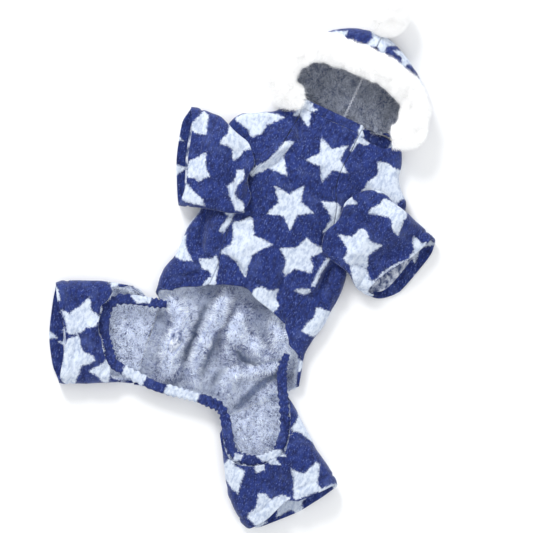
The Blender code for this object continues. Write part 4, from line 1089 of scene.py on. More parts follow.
class Nodes:
    """Short names for building a material's nodes."""

    def __init__(self, name):
        self.material = bpy.data.materials.new(name)
        self.material.use_nodes = True
        self.tree = self.material.node_tree
        self.shader = self.tree.nodes["Principled BSDF"]
        self.shader.inputs["Specular IOR Level"].default_value = 0.25

    def add(self, kind, **settings):
        node = self.tree.nodes.new(kind)
        for key, value in settings.items():
            setattr(node, key, value)
        return node

    def put(self, socket, value):
        if isinstance(value, bpy.types.NodeSocket):
            self.tree.links.new(value, socket)
        elif isinstance(value, tuple) and len(value) == 3 and socket.type == "RGBA":
            socket.default_value = (*value, 1.0)
        else:
            socket.default_value = value

    def math(self, operation, first, second):
        node = self.add("ShaderNodeMath", operation=operation)
        for socket, value in zip(node.inputs, (first, second)):
            self.put(socket, value)
        return node.outputs[0]

    def noise(self, scale, detail=2.0, roughness=0.55, stretch=None, distortion=0.0):
        place = self.add("ShaderNodeTexCoord").outputs["Object"]
        if stretch:
            mapping = self.add("ShaderNodeMapping")
            self.put(mapping.inputs["Vector"], place)
            mapping.inputs["Scale"].default_value = stretch
            mapping.inputs["Rotation"].default_value = (0, 0, 0.3)
            place = mapping.outputs[0]
        node = self.add("ShaderNodeTexNoise")
        self.put(node.inputs["Vector"], place)
        node.inputs["Scale"].default_value = scale
        node.inputs["Detail"].default_value = detail
        node.inputs["Roughness"].default_value = roughness
        node.inputs["Distortion"].default_value = distortion
        return node.outputs["Fac"]

    def ramp(self, value, low, high):
        node = self.add("ShaderNodeMapRange", interpolation_type="SMOOTHSTEP")
        for key, each in (("Value", value), ("From Min", low), ("From Max", high)):
            self.put(node.inputs[key], each)
        return node.outputs[0]

    def mix(self, share, first, second):
        node = self.add("ShaderNodeMix", data_type="RGBA")
        self.put(node.inputs[0], share)
        self.put(node.inputs[6], first)
        self.put(node.inputs[7], second)
        return node.outputs[2]

    def attribute(self, name):
        return self.add("ShaderNodeAttribute", attribute_name=name)

    def bump(self, height, strength, distance):
        node = self.add("ShaderNodeBump")
        self.put(node.inputs["Height"], height)
        node.inputs["Strength"].default_value = strength
        node.inputs["Distance"].default_value = distance
        self.tree.links.new(node.outputs[0], self.shader.inputs["Normal"])


NAVY_DEEP = (0.007, 0.013, 0.075)
NAVY = (0.016, 0.032, 0.170)
NAVY_SPECK = (0.130, 0.180, 0.430)
STAR_PALE = (0.640, 0.700, 0.790)
STAR_SHADE = (0.400, 0.465, 0.600)
FLEECE_LIGHT = (0.800, 0.830, 0.900)
FLEECE_MID = (0.520, 0.570, 0.700)
FLEECE_DARK = (0.060, 0.085, 0.200)
# Painted shade: pile strands are mixed towards this grey-blue where they lie in the valleys of folds.
VALLEY_PAINTED_SHADE = (0.22, 0.27, 0.40)
FUR_SHADE = (0.92, 0.92, 0.92)
FUR_WHITE = (0.98, 0.98, 0.98)
THREAD_SHADE = (0.62, 0.66, 0.76)
THREAD_PALE = (0.88, 0.90, 0.95)
FLOOR_SHADE = (0.94, 0.94, 0.945)
FLOOR_WHITE = (0.96, 0.96, 0.96)


def star_mask(n):
    """1 inside a star, 0 outside, with a fuzzy edge a pile's length wide."""
    depth = n.attribute("print").outputs["Fac"]
    ragged = n.math("MULTIPLY", n.math("SUBTRACT", n.noise(380, 3.0, 0.65), 0.5), 5.0)
    fine = n.math("MULTIPLY", n.math("SUBTRACT", n.noise(1300, 1.0), 0.5), 3.0)
    return n.ramp(n.math("ADD", depth, n.math("ADD", ragged, fine)), -1.1, 1.1)


def make_velour():
    n = Nodes("star_velour")
    clumps = n.noise(330, 3.0, 0.6, (1.0, 0.55, 1.0))
    specks = n.noise(950, 2.0, 0.6, (1.0, 0.45, 1.0))
    broad = n.noise(60, 2.0)
    blue = n.mix(n.ramp(clumps, 0.32, 0.66), NAVY_DEEP, NAVY)
    blue = n.mix(n.math("MULTIPLY", n.ramp(specks, 0.54, 0.74), 0.75), blue, NAVY_SPECK)
    blue = n.mix(n.math("MULTIPLY", n.ramp(broad, 0.50, 0.80), 0.22), blue, NAVY_SPECK)
    pale = n.mix(n.ramp(clumps, 0.30, 0.62), STAR_SHADE, STAR_PALE)
    pale = n.mix(n.math("MULTIPLY", n.ramp(specks, 0.56, 0.78), 0.50), pale, NAVY_SPECK)
    colour = n.mix(star_mask(n), blue, pale)
    n.put(n.shader.inputs["Base Color"], colour)
    n.shader.inputs["Roughness"].default_value = 0.92
    n.shader.inputs["Sheen Weight"].default_value = 0.35
    n.shader.inputs["Sheen Roughness"].default_value = 0.45
    n.shader.inputs["Sheen Tint"].default_value = (0.75, 0.82, 1.0, 1.0)
    height = n.math("ADD", clumps, n.math("MULTIPLY", specks, 0.5))
    n.bump(height, 0.55, 0.0012)
    return n.material


def make_fleece():
    n = Nodes("pile_inside")
    clumps = n.noise(190, 3.0, 0.6, (1.0, 0.7, 1.0), 0.6)
    specks = n.noise(800, 2.0, 0.6)
    colour = n.mix(n.ramp(clumps, 0.34, 0.60), FLEECE_DARK, FLEECE_MID)
    colour = n.mix(n.ramp(clumps, 0.48, 0.72), colour, FLEECE_LIGHT)
    colour = n.mix(n.math("MULTIPLY", n.ramp(specks, 0.55, 0.75), 0.5), colour, FLEECE_DARK)
    n.put(n.shader.inputs["Base Color"], colour)
    n.shader.inputs["Roughness"].default_value = 0.95
    n.shader.inputs["Sheen Weight"].default_value = 0.2
    n.bump(n.math("ADD", clumps, n.math("MULTIPLY", specks, 0.3)), 0.7, 0.002)
    return n.material


def make_strand(name, root, tip, streak, share, painted_glow=0.0, painted_glow_from="white"):
    """Pile strands: darker at the root, pale at the tip, each with its own shade.

    The strand attribute holds the share of the way up, the strand's own number and a tone of painted shade:
    darker in the folds' valleys and paler on their ridges, with random patches.
    """
    n = Nodes(name)
    facts = n.attribute("strand")
    split = n.add("ShaderNodeSeparateXYZ")
    n.put(split.inputs[0], facts.outputs["Vector"])
    up, own, painted_shade_and_patches = split.outputs[0], split.outputs[1], split.outputs[2]
    colour = n.mix(n.ramp(up, 0.0, 0.8), root, tip)
    # Painted shade: the colour is pulled towards the valley grey-blue by the strand's painted shade tone.
    colour = n.mix(n.ramp(painted_shade_and_patches, 0.0, 1.0), colour, VALLEY_PAINTED_SHADE)
    colour = n.mix(n.ramp(own, 1 - share, 1 - 0.6 * share), colour, streak)
    n.put(n.shader.inputs["Base Color"], colour)
    n.shader.inputs["Roughness"].default_value = 0.85
    # Painted light: the strands glow by themselves, standing in for light scattered through the pile and
    # fur.
    if painted_glow_from == "own":
        n.put(n.shader.inputs["Emission Color"], colour)
    else:
        n.shader.inputs["Emission Color"].default_value = (1.0, 1.0, 1.0, 1.0)
    n.shader.inputs["Emission Strength"].default_value = painted_glow
    n.shader.inputs["Specular IOR Level"].default_value = 0.1
    return n.material


def make_fur_base():
    n = Nodes("white_fur_base")
    clumps = n.noise(120, 3.0, 0.6)
    colour = n.mix(n.ramp(clumps, 0.3, 0.7), FUR_SHADE, FUR_WHITE)
    n.put(n.shader.inputs["Base Color"], colour)
    n.shader.inputs["Roughness"].default_value = 0.95
    n.bump(clumps, 0.6, 0.003)
    return n.material


def make_thread():
    n = Nodes("white_thread")
    twist = n.noise(1500, 1.0)
    n.put(n.shader.inputs["Base Color"], n.mix(twist, THREAD_SHADE, THREAD_PALE))
    n.shader.inputs["Roughness"].default_value = 0.7
    return n.material


VELOUR = make_velour()
FLEECE = make_fleece()
FUR_BASE = make_fur_base()
THREAD = make_thread()
# The pile's and the fur's strands give off a little painted light of their own, standing in for light
# scattered through them. The lining's strands do not.
PILE_STRANDS = make_strand(
    "pile_strands",
    root=(0.62, 0.69, 0.88),
    tip=(0.90, 0.95, 1.0),
    streak=(0.03, 0.055, 0.24),
    share=0.14,
    painted_glow=0.14,
    painted_glow_from="own",
)
LINING_STRANDS = make_strand(
    "lining_strands",
    root=(0.15, 0.18, 0.26),
    tip=(0.66, 0.70, 0.80),
    streak=(0.04, 0.06, 0.14),
    share=0.26,
)
FUR_STRANDS = make_strand(
    "fur_strands",
    root=(0.95, 0.95, 0.95),
    tip=(1.0, 1.0, 1.0),
    streak=(0.91, 0.90, 0.89),
    share=0.10,
    painted_glow=0.17,
)

# Folds and creases

# Ridges (height over 0) and creases (under 0) along lines in the chart's millimetres.
# Columns: height, width, then x, y pairs.
TOP_FOLDS = (
    (1.6, 4.5, -39, 134, -48, 125, -50, 115, -57, 103, -65, 90),
    (-1.8, 2.6, -34, 128, -43, 119, -46, 109, -53, 97),
    (-2.4, 2.4, -88, 40, -87, 28, -84, 15, -80, 5, -75, -5, -68, -5),
    (-2.0, 2.4, -50, 2, -38, 0, -26, -8),
    (1.6, 3.6, 45, 45, 40, 30, 42, 12),
    (-1.6, 2.4, 50, 44, 45, 30, 47, 14),
    (1.2, 3.0, 25, 2, 30, 6, 40, 8),
    (-1.6, 3.0, 10, 10, 12, -15),
    (-1.4, 2.6, 0, 121, 8, 111),
    (-1.8, 2.6, 50, 128, 54, 112, 50, 100),
    (1.2, 3.6, 56, 132, 60, 116, 57, 102),
    (-1.5, 2.8, -72, 152, -66, 138, -70, 122),
    (-1.4, 3.0, -28, 60, -40, 50, -58, 46),
    (1.0, 4.0, -24, 54, -40, 43, -56, 40),
    (-1.2, 3.0, 30, 60, 42, 56, 52, 50),
    (-1.2, 3.0, -8, 100, 8, 94, 20, 96),
    (-1.2, 2.6, 12, 160, 20, 150, 30, 146),
    (-1.3, 2.6, -20, 158, -14, 148),
    (-1.5, 2.6, 56, 20, 66, 10, 70, -6),
    (1.2, 3.4, 62, 26, 72, 14, 76, -2),
    (2.6, 11.0, -72, 40, -72, 20, -66, 4),
    (2.4, 10.0, -84, -26, -92, -44),
    (2.2, 8.0, -36, 30, -42, 8, -32, -4),
    (2.0, 8.0, 24, -6, 34, -16, 40, -24),
    (2.0, 9.0, -56, 76, -34, 92, -26, 110),
    (-3.0, 5.0, 47, 40, 48, 26, 49, 12),
    (1.8, 7.0, 60, 34, 60, 6),
    (1.8, 8.0, -58, 140, -56, 126),
    (-2.6, 3.4, -50, 164, -42, 154, -34, 140, -38, 132),
    (-1.6, 3.0, 40, 118, 30, 124, 18, 116),
    (1.4, 6.0, 34, 150, 36, 132),
    (-1.6, 2.6, -66, -22, -80, -32, -92, -40),
    (-1.4, 2.4, -20, -8, -22, -24),
    (-1.2, 2.4, 30, -10, 28, -26),
)
SLEEVE_LEFT_CREASES = (
    (2.4, 4.0, -77, 86, -72, 76, -66, 64, -58, 48),
    (-2.2, 2.6, -84, 82, -78, 70, -71, 58, -64, 46),
    (-1.8, 2.6, -68, 92, -62, 78, -55, 64),
    (-1.4, 3.0, -120, 150, -108, 138, -98, 134),
    (-1.2, 3.0, -100, 100, -88, 90, -80, 92),
    (1.0, 4.0, -110, 112, -96, 104, -84, 104),
)
SLEEVE_RIGHT_CREASES = (
    (-1.8, 2.8, 52, 92, 64, 92, 78, 86),
    (1.4, 4.0, 50, 84, 64, 84, 78, 78),
    (-1.6, 2.8, 84, 60, 92, 70, 104, 74),
    (-1.4, 2.6, 62, 42, 72, 50, 80, 48),
    (-1.2, 3.0, 96, 104, 104, 96, 110, 98),
    (1.0, 4.0, 90, 50, 98, 62, 110, 64),
)
LEG_LEFT_CREASES = (
    (-2.0, 2.8, -138, -88, -132, -104, -134, -124, -128, -140),
    (1.4, 4.0, -146, -90, -140, -106, -142, -124, -137, -142),
    (-1.6, 2.6, -120, -138, -110, -132, -100, -134),
    (-1.6, 2.6, -150, -66, -142, -74, -128, -76),
    (-1.2, 2.8, -160, -128, -150, -132, -142, -130),
    (-1.4, 2.4, -116, -160, -112, -148, -114, -138),
)
LEG_RIGHT_CREASES = (
    (-2.6, 2.8, 100, -165, 104, -178, 108, -188),
    (1.6, 4.0, 92, -164, 95, -178, 99, -190),
    (-1.8, 2.6, 83, -127, 96, -131, 112, -133),
    (1.3, 4.0, 84, -120, 98, -123, 112, -125),
    (-1.6, 2.6, 66, -150, 74, -158, 86, -160),
    (-1.6, 2.6, 120, -150, 128, -158, 138, -160),
    (-1.4, 2.6, 58, -190, 68, -186, 78, -190),
    (-1.2, 2.6, 118, -182, 126, -184, 134, -180),
)
RUMP_CREASES = (
    (3.0, 6.0, -118, -75, -112, -100, -100, -125),
    (-3.0, 3.6, -103, -75, -92, -110, -95, -140),
    (4.6, 8.0, -85, -62, -65, -72, -60, -90, -62, -105, -55, -120, -58, -135),
    (-3.0, 4.0, -50, -52, -48, -80, -50, -110),
    (4.4, 5.5, -36, -27, -33, -60, -34, -95, -30, -125),
    (-3.6, 3.0, -27, -70, -28, -90, -27, -118),
    (2.6, 7.0, -20, -58, 10, -66, 30, -72),
    (3.0, 8.0, -14, -40, -10, -70, -5, -95),
    (-2.2, 4.0, -16, -72, 4, -82, 20, -84),
    (3.2, 8.0, 22, -30, 34, -52, 44, -66),
    (-2.6, 3.0, 10, -96, 22, -84, 36, -74, 50, -68),
    (3.4, 5.0, 6, -100, 20, -90, 34, -80, 50, -74),
    (-4.0, 3.6, 48, -78, 40, -90, 33, -105, 27, -118, 22, -130),
    (3.8, 7.0, 52, -92, 46, -112, 42, -136, 40, -160),
    (-3.0, 3.6, 60, -100, 62, -120, 60, -150),
    (1.8, 5.0, 8, -92, 2, -112, 6, -130),
    (-1.6, 4.0, -6, -100, -10, -124),
)


# How far the charted folds are raised on the body's top, on the leg tubes and on the rump
TOP_LIFT = 2.2
TUBE_LIFT = 1.7
RUMP_LIFT = 2.4
# Heaps all over the rump's floor: height, and the height and size of their own unevenness
HEAP_HEIGHT = 0.0022
HEAP_UNEVEN = 0.0016
HEAP_SIZE = 0.018
# Distance from the side seams over which the heaps rise
HEAP_EDGE = 0.010
# Wrinkles. Columns: height, size.
BROAD_WRINKLES = (0.0010, 0.026)
FINE_WRINKLES = (0.0005, 0.011)
SIDE_WRINKLES = (0.0012, 0.020)
TUBE_BROAD_WRINKLES = (0.0013, 0.024)
TUBE_FINE_WRINKLES = (0.0006, 0.010)
HOOD_WRINKLES = (0.0012, 0.022)
# The turned hem at a tube's cuff: its width, its groove and its roll
HEM_WIDTH = 0.011
HEM_GROOVE = 0.0013
HEM_GROOVE_WIDTH = 0.0014
HEM_ROLL = 0.0007
HEM_ROLL_WIDTH = 0.0042
HEM_PUCKER = 0.006
HOOD_GATHERS = 0.0005
# Parts of the body's chart where the inner face shows the printed side
FLANK_TOP = -20
FLANK_LEFT = -92
FLANK_RIGHT = 56
NECK_END = (20, 140)
# Heights over the floor that the outer and the inner face keep
OUTER_LOWEST = 0.0002
INNER_LOWEST = 0.0004
STRAND_LOWEST = 0.0003


def line_folds(flat, folds):
    """Height in metres that the folds add at places (in the chart's millimetres)."""
    lift = np.zeros(flat.shape[:-1])
    for row in folds:
        height, width = row[:2]
        line = np.array(row[2:], float).reshape(-1, 2)
        best = np.full(flat.shape[:-1], 1e9)
        share = np.zeros(flat.shape[:-1])
        run = 0.0
        total = np.linalg.norm(np.diff(line, axis=0), axis=1).sum()
        for start, end in zip(line[:-1], line[1:]):
            step = end - start
            length = np.linalg.norm(step)
            t = np.clip(((flat - start) @ step) / length**2, 0, 1)
            gap = np.linalg.norm(flat - start - t[..., None] * step, axis=-1)
            nearer = gap < best
            best = np.where(nearer, gap, best)
            share = np.where(nearer, (run + t * length) / total, share)
            run += length
        taper = np.sin(np.pi * (0.12 + 0.76 * share))
        lift += height * taper * np.exp(-((best / width) ** 2))
    return lift * MM


def chart_of(points):
    """Places in the chart's millimetres of points in body axes."""
    return points[..., :2] / MM - CHART


def wrinkles(points, amount, size, seed):
    """Soft creases: thin valleys between pillows of cloth."""
    folded = 1 - np.abs(noise(points, size, seed)) * 2
    return amount * (0.5 * fractal(points, size, seed + 3, 2) - 0.6 * np.clip(folded, 0, 1) ** 6)


def rim_faces(rows, columns, wrap):
    """Quads that join the outer and the inner face along their open edges."""
    count = rows * columns
    ids = np.arange(count).reshape(rows, columns)
    ring = np.arange(columns if wrap else columns - 1)
    edges = []
    for row, flip in ((0, False), (rows - 1, True)):
        edges.append((ids[row, ring], ids[row, (ring + 1) % columns], flip))
    if not wrap:
        for column, flip in ((0, True), (columns - 1, False)):
            edges.append((ids[:-1, column], ids[1:, column], flip))
    rims = []
    for first, second, flip in edges:
        rim = np.stack([second, first, first + count, second + count], axis=-1)
        rims.append(rim[:, ::-1] if flip else rim)
    return np.concatenate(rims)


def shown_inside(middle, chart):
    """Inner faces that show the printed side: the flanks' turned edges and the neck's right end."""
    if chart != "body":
        return np.zeros(len(middle), bool)
    x = middle[:, 0]
    y = middle[:, 1]
    flanks = (y < FLANK_TOP) & ((x > FLANK_RIGHT) | (x < FLANK_LEFT))
    return flanks | ((y > NECK_END[1]) & (x > NECK_END[0]))


def build_sheet(name, surface, u, v, detail, chart, wrap=False, outward=1.0, shift=0.0, hem_rows=0):
    """A closed sheet of cloth: velour outside and pile inside. Also gives its inner points and faces."""
    uu, vv = np.meshgrid(u, v)
    base = surface(uu, vv) + np.array([shift, 0, 0])
    normal = outward * grid_normals(base, wrap)
    outer = detail(base, normal, uu, vv)
    outer[..., 2] = np.maximum(outer[..., 2], OUTER_LOWEST)
    fresh = outward * grid_normals(outer, wrap)
    bad = np.linalg.norm(fresh, axis=-1) < 0.5
    fresh[bad] = normal[bad]
    inner = outer - CLOTH * fresh
    inner[..., 2] = np.maximum(inner[..., 2], INNER_LOWEST)
    rows, columns = uu.shape
    faces = quads(rows, columns, wrap)
    rims = rim_faces(rows, columns, wrap)
    if outward < 0:
        faces = faces[:, ::-1]
        rims = rims[:, ::-1]
    everything = np.concatenate([faces, faces[:, ::-1] + rows * columns, rims])
    points = np.concatenate([outer.reshape(-1, 3), inner.reshape(-1, 3)]) + SHIFT
    inner_kind = np.ones((rows - 1, columns if wrap else columns - 1))
    if hem_rows:
        inner_kind[-hem_rows:] = 0
    middle = chart_of(inner.reshape(-1, 3)[faces].mean(axis=1))
    inner_kind = np.where(shown_inside(middle, chart), 0, inner_kind.ravel())
    index = np.concatenate([np.zeros(len(faces)), inner_kind, np.zeros(len(rims))])
    made = mesh_from(name, points, everything, [VELOUR, FLEECE], index)
    add_print(made, star_print(points, np.concatenate([normal.reshape(-1, 3)] * 2), chart))
    return made, (inner.reshape(-1, 3) + SHIFT, faces[:, ::-1])


def on_top(normal):
    """1 where the cloth faces up, 0 where it faces down."""
    return smooth_step((normal[..., 2] + 0.1) / 0.6)


def body_detail(base, normal, *_):
    """Folds on top of the body, and creases all over."""
    flat = chart_of(base)
    top = on_top(normal)
    folds = TOP_LIFT * line_folds(flat, TOP_FOLDS)
    lift = top * (folds + wrinkles(base, *BROAD_WRINKLES, 3) + wrinkles(base, *FINE_WRINKLES, 8))
    outer = base.copy()
    outer[..., 2] += lift
    side = 1 - np.abs(normal[..., 2])
    outer += normal * (side * wrinkles(base, *SIDE_WRINKLES, 5))[..., None]
    return outer


def back_detail(base, normal, *_):
    """The body's detail, and heaps of the inside's cloth on the rump's floor."""
    outer = body_detail(base, normal)
    flat = chart_of(base)
    along = spine_share(base[..., 1])
    left = section(along, "left") * CHEST_HALF_WIDTH
    right = section(along, "right") * CHEST_HALF_WIDTH
    inside = np.clip(np.minimum(base[..., 0] - left, right - base[..., 0]) / HEAP_EDGE, 0, 1)
    below = smooth_step(-normal[..., 2] * 2 - 0.4)
    rump = below * smooth_step(inside) * smooth_step(-along * 5)
    heaps = HEAP_HEIGHT + HEAP_UNEVEN * fractal(base, HEAP_SIZE, 4, 2)
    folds = RUMP_LIFT * line_folds(flat, RUMP_CREASES) + heaps
    outer[..., 2] += rump * np.maximum(folds, 0.0)
    return outer


def cuff_detail(creases, seed):
    """Creases on a leg tube, with a stitched hem groove behind its cuff."""

    def detail(base, normal, *_):
        flat = chart_of(base)
        top = on_top(normal)
        lift = TUBE_LIFT * line_folds(flat, creases)
        lift = lift + wrinkles(base, *TUBE_BROAD_WRINKLES, seed)
        lift = lift + wrinkles(base, *TUBE_FINE_WRINKLES, seed + 4)
        outer = base.copy()
        outer[..., 2] += top * lift
        side = smooth_step(1 - np.abs(normal[..., 2]))
        outer += normal * (side * wrinkles(base, *SIDE_WRINKLES, seed + 2))[..., None]
        step = np.linalg.norm(np.diff(base, axis=0), axis=-1)
        to_cuff = np.concatenate([np.cumsum(step[::-1], axis=0)[::-1], np.zeros((1, base.shape[1]))])
        groove = HEM_GROOVE * np.exp(-(((to_cuff - HEM_WIDTH) / HEM_GROOVE_WIDTH) ** 2))
        roll = HEM_ROLL * np.exp(-(((to_cuff - 0.5 * HEM_WIDTH) / HEM_ROLL_WIDTH) ** 2))
        pucker = 0.5 + 0.5 * noise(base, HEM_PUCKER, seed + 9)
        free = smooth_step((normal[..., 2] + 0.9) * 3)
        outer += normal * (free * (roll * (0.6 + 0.8 * pucker) - groove))[..., None]
        return outer

    return detail


def hood_detail(base, normal, uu, vv):
    """Creases in the hood's crown and gathers at its edge."""
    outer = base.copy()
    curled = smooth_step((vv - 0.45) * 4)
    outer += normal * (curled * wrinkles(base, *HOOD_WRINKLES, 14))[..., None]
    gathers = np.sin(uu * 0.9) * smooth_step((vv - 0.7) * 4) * HOOD_GATHERS
    outer += normal * gathers[..., None]
    return outer


# Strands


def strands(name, points, directions, lengths, widths, own, material, normals, painted_shade_and_patches=0.0):
    """One triangle for each strand, from its root to its tip."""
    count = len(points)
    rng = np.random.default_rng(len(name) * 7 + 3)
    side = np.cross(normals + 0.45 * rng.normal(size=(count, 3)), directions)
    side /= np.maximum(np.linalg.norm(side, axis=1, keepdims=True), 1e-9)
    flat = np.cross(side, directions)
    facing = np.where((flat * normals).sum(axis=1, keepdims=True) < 0, -1, 1)
    side *= facing
    flat *= facing
    corners = np.empty((count, 3, 3))
    corners[:, 0] = points - side * widths[:, None] / 2
    corners[:, 1] = points + side * widths[:, None] / 2
    corners[:, 2] = points + directions * lengths[:, None]
    corners[..., 2] = np.maximum(corners[..., 2], STRAND_LOWEST)
    faces = np.arange(count * 3).reshape(-1, 3)
    made = mesh_from(name, corners.reshape(-1, 3), faces, [material])
    facts = np.zeros((count, 3, 3))
    facts[:, 2, 0] = 1.0
    facts[:, :, 1] = own[:, None]
    facts[:, :, 2] = np.broadcast_to(painted_shade_and_patches, count)[:, None]
    attribute = made.data.attributes.new("strand", "FLOAT_VECTOR", "POINT")
    attribute.data.foreach_set("vector", facts.reshape(-1).astype(np.float32))
    shown = flat + 1.2 * normals
    shown /= np.linalg.norm(shown, axis=1, keepdims=True)
    made.data.normals_split_custom_set_from_vertices(np.repeat(shown, 3, axis=0).astype(np.float32))
    return made


def scatter(points, faces, count, seed, weight=None):
    """Random places over triangles or quads, with their faces' normals, even by area times weight."""
    rng = np.random.default_rng(seed)
    if faces.shape[1] == 4:
        faces = np.concatenate([faces[:, [0, 1, 2]], faces[:, [0, 2, 3]]])
        if weight is not None:
            weight = np.concatenate([weight, weight])
    corner = points[faces]
    cross = np.cross(corner[:, 1] - corner[:, 0], corner[:, 2] - corner[:, 0])
    area = np.linalg.norm(cross, axis=1)
    share = area if weight is None else area * weight
    chosen = rng.choice(len(faces), count, p=share / share.sum())
    a, b = rng.random((2, count, 1))
    flip = a + b > 1
    a, b = np.where(flip, 1 - a, a), np.where(flip, 1 - b, b)
    first, second, third = (corner[chosen, at] for at in range(3))
    place = first + a * (second - first) + b * (third - first)
    return place, cross[chosen] / np.maximum(area[chosen, None], 1e-15), rng


def clumped(place, normal, rng, lean, spread, size, seed):
    """Directions that lean together in clumps about size across."""
    flow = [noise(place, size, seed), noise(place, size, seed + 1), 0.3 * noise(place, size, seed + 2)]
    flow = np.stack(flow, axis=-1)
    direction = normal + lean * flow + spread * rng.normal(size=place.shape)
    return direction / np.linalg.norm(direction, axis=1, keepdims=True)


# Pieces

# Grids of the sheets: points across, then points along
BACK_COLUMNS = 133
BACK_ROWS = 168
CURL_ROWS = 12
CHEST_GRID = (68, 124)
CHEST_OVERLAP = 0.0105
BAND_GRID = (60, 9)
BAND_OVERLAP = 0.01
TUBE_GRID = (140, 56)
HOOD_GRID = (90, 44)
HOOD_START = 0.02
HEM_ROWS = 8
# Share of the gap to the elastic that the leg's cloth keeps
ELASTIC_REACH = 0.74
ELASTIC_STEPS = 620
ELASTIC_SIDES = 26
TRIM_STEPS = 230
TRIM_SIDES = 40
# Strands. The fur's lengths are in metres, the pompom's are shares of its radius.
TRIM_COUNT = 170000
TRIM_LENGTH = (0.0050, 0.0035)
POMPOM_COUNT = 90000
POMPOM_LENGTH = (0.30, 0.16)
POMPOM_CORE = 0.72
FUR_WIDTH = 0.0002
PILE_LEAN = 1.1
PILE_SPREAD = 0.30
PILE_CLUMP = 0.006
PILE_WIDTH = (0.00028, 0.00022)
RUMP_PILE = (170000, 0.0046)
LEG_PILE = (45000, 0.0042)
HOOD_PILE = (36000, 0.0040)
# The rump's pile lies below this line of the chart and this height
RUMP_TOP = 8
RUMP_HEIGHT = 0.022
# Share of a leg tube's length that has pile inside, up to its hem
PILE_ENDS = 0.85

tubes = all_tubes()


def nearer_elastic(tube):
    """Brings the leg's cloth up to the elastic's gathers, over the small gap that the solids keep."""
    far = tube["root_top"]

    def root(across):
        elastic = read_curve(tube["elastic"], across)
        return elastic + ELASTIC_REACH * (far(across) - elastic)

    return root


for leg_name in ("hind_leg_left", "hind_leg_right"):
    tubes[leg_name]["root_top"] = nearer_elastic(tubes[leg_name])


def finish_piece(made, node=None):
    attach(made, "root")
    if node:
        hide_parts(node)
    return made


curl = 1 - BACK_CURL_SHARE + BACK_CURL_SHARE * np.linspace(0, 1, CURL_ROWS)[1:]
back, back_inside = build_sheet(
    "back_panel_cloth",
    back_surface,
    np.linspace(-1, 1, BACK_COLUMNS),
    np.concatenate([np.linspace(0, 1 - BACK_CURL_SHARE, BACK_ROWS), curl]),
    back_detail,
    "body",
)
finish_piece(back, "back_panel")

chest, _ = build_sheet(
    "chest_panel_cloth",
    chest_surface,
    np.linspace(-CHEST_OVERLAP, 1 + CHEST_OVERLAP, CHEST_GRID[0]),
    np.linspace(0, 1, CHEST_GRID[1]),
    body_detail,
    "body",
    outward=-1.0,
)
finish_piece(chest, "chest_panel")

band, _ = build_sheet(
    "neck_band_cloth",
    band_surface,
    np.linspace(-BAND_OVERLAP, 1 + BAND_OVERLAP, BAND_GRID[0]),
    np.linspace(0, 1, BAND_GRID[1]),
    body_detail,
    "body",
    outward=-1.0,
)
finish_piece(band, "neck_band")

TUBE_CREASES = {
    "sleeve_left": (SLEEVE_LEFT_CREASES, 21),
    "sleeve_right": (SLEEVE_RIGHT_CREASES, 31),
    "hind_leg_left": (LEG_LEFT_CREASES, 41),
    "hind_leg_right": (LEG_RIGHT_CREASES, 51),
}
tube_insides = {}
for node, tube in tubes.items():
    creases, seed = TUBE_CREASES[node]
    made, tube_insides[node] = build_sheet(
        node + "_cloth",
        tube_surface(tube),
        np.linspace(0, 1, TUBE_GRID[0] + 1)[:-1],
        np.linspace(0, 1, TUBE_GRID[1]),
        cuff_detail(creases, seed),
        node,
        wrap=True,
        outward=tube["outward"],
        hem_rows=HEM_ROWS,
    )
    finish_piece(made, node)

# Columns: node, first and last degree round the hood's middle, sideways move
HOOD_HALVES = (
    ("hood_right_panel", -90, 90, SEAM_GAP / 2),
    ("hood_left_panel", 90, 270, -SEAM_GAP / 2),
)
hood_insides = {}
for node, first, last, move in HOOD_HALVES:
    made, hood_insides[node] = build_sheet(
        node + "_cloth",
        hood_surface,
        np.linspace(first, last, HOOD_GRID[0]),
        np.linspace(HOOD_START, 1, HOOD_GRID[1]),
        hood_detail,
        "hood",
        shift=move,
    )
    finish_piece(made, node)


def sweep_points(path, ring, sides):
    """Rings of points round a path. ring(index, angles) gives out and up."""
    tangent = np.gradient(path, axis=0)
    tangent /= np.linalg.norm(tangent, axis=1, keepdims=True)
    out = np.stack([tangent[:, 1], -tangent[:, 0], 0 * tangent[:, 0]], axis=1)
    out /= np.linalg.norm(out, axis=1, keepdims=True)
    up = np.cross(out, tangent)
    up *= np.where(up[:, 2:3] > 0, 1, -1)
    index, angle = np.meshgrid(np.arange(len(path)), 2 * math.pi * np.arange(sides) / sides, indexing="ij")
    away, lift = ring(index, angle)
    return path[:, None] + out[:, None] * away[..., None] + up[:, None] * lift[..., None]


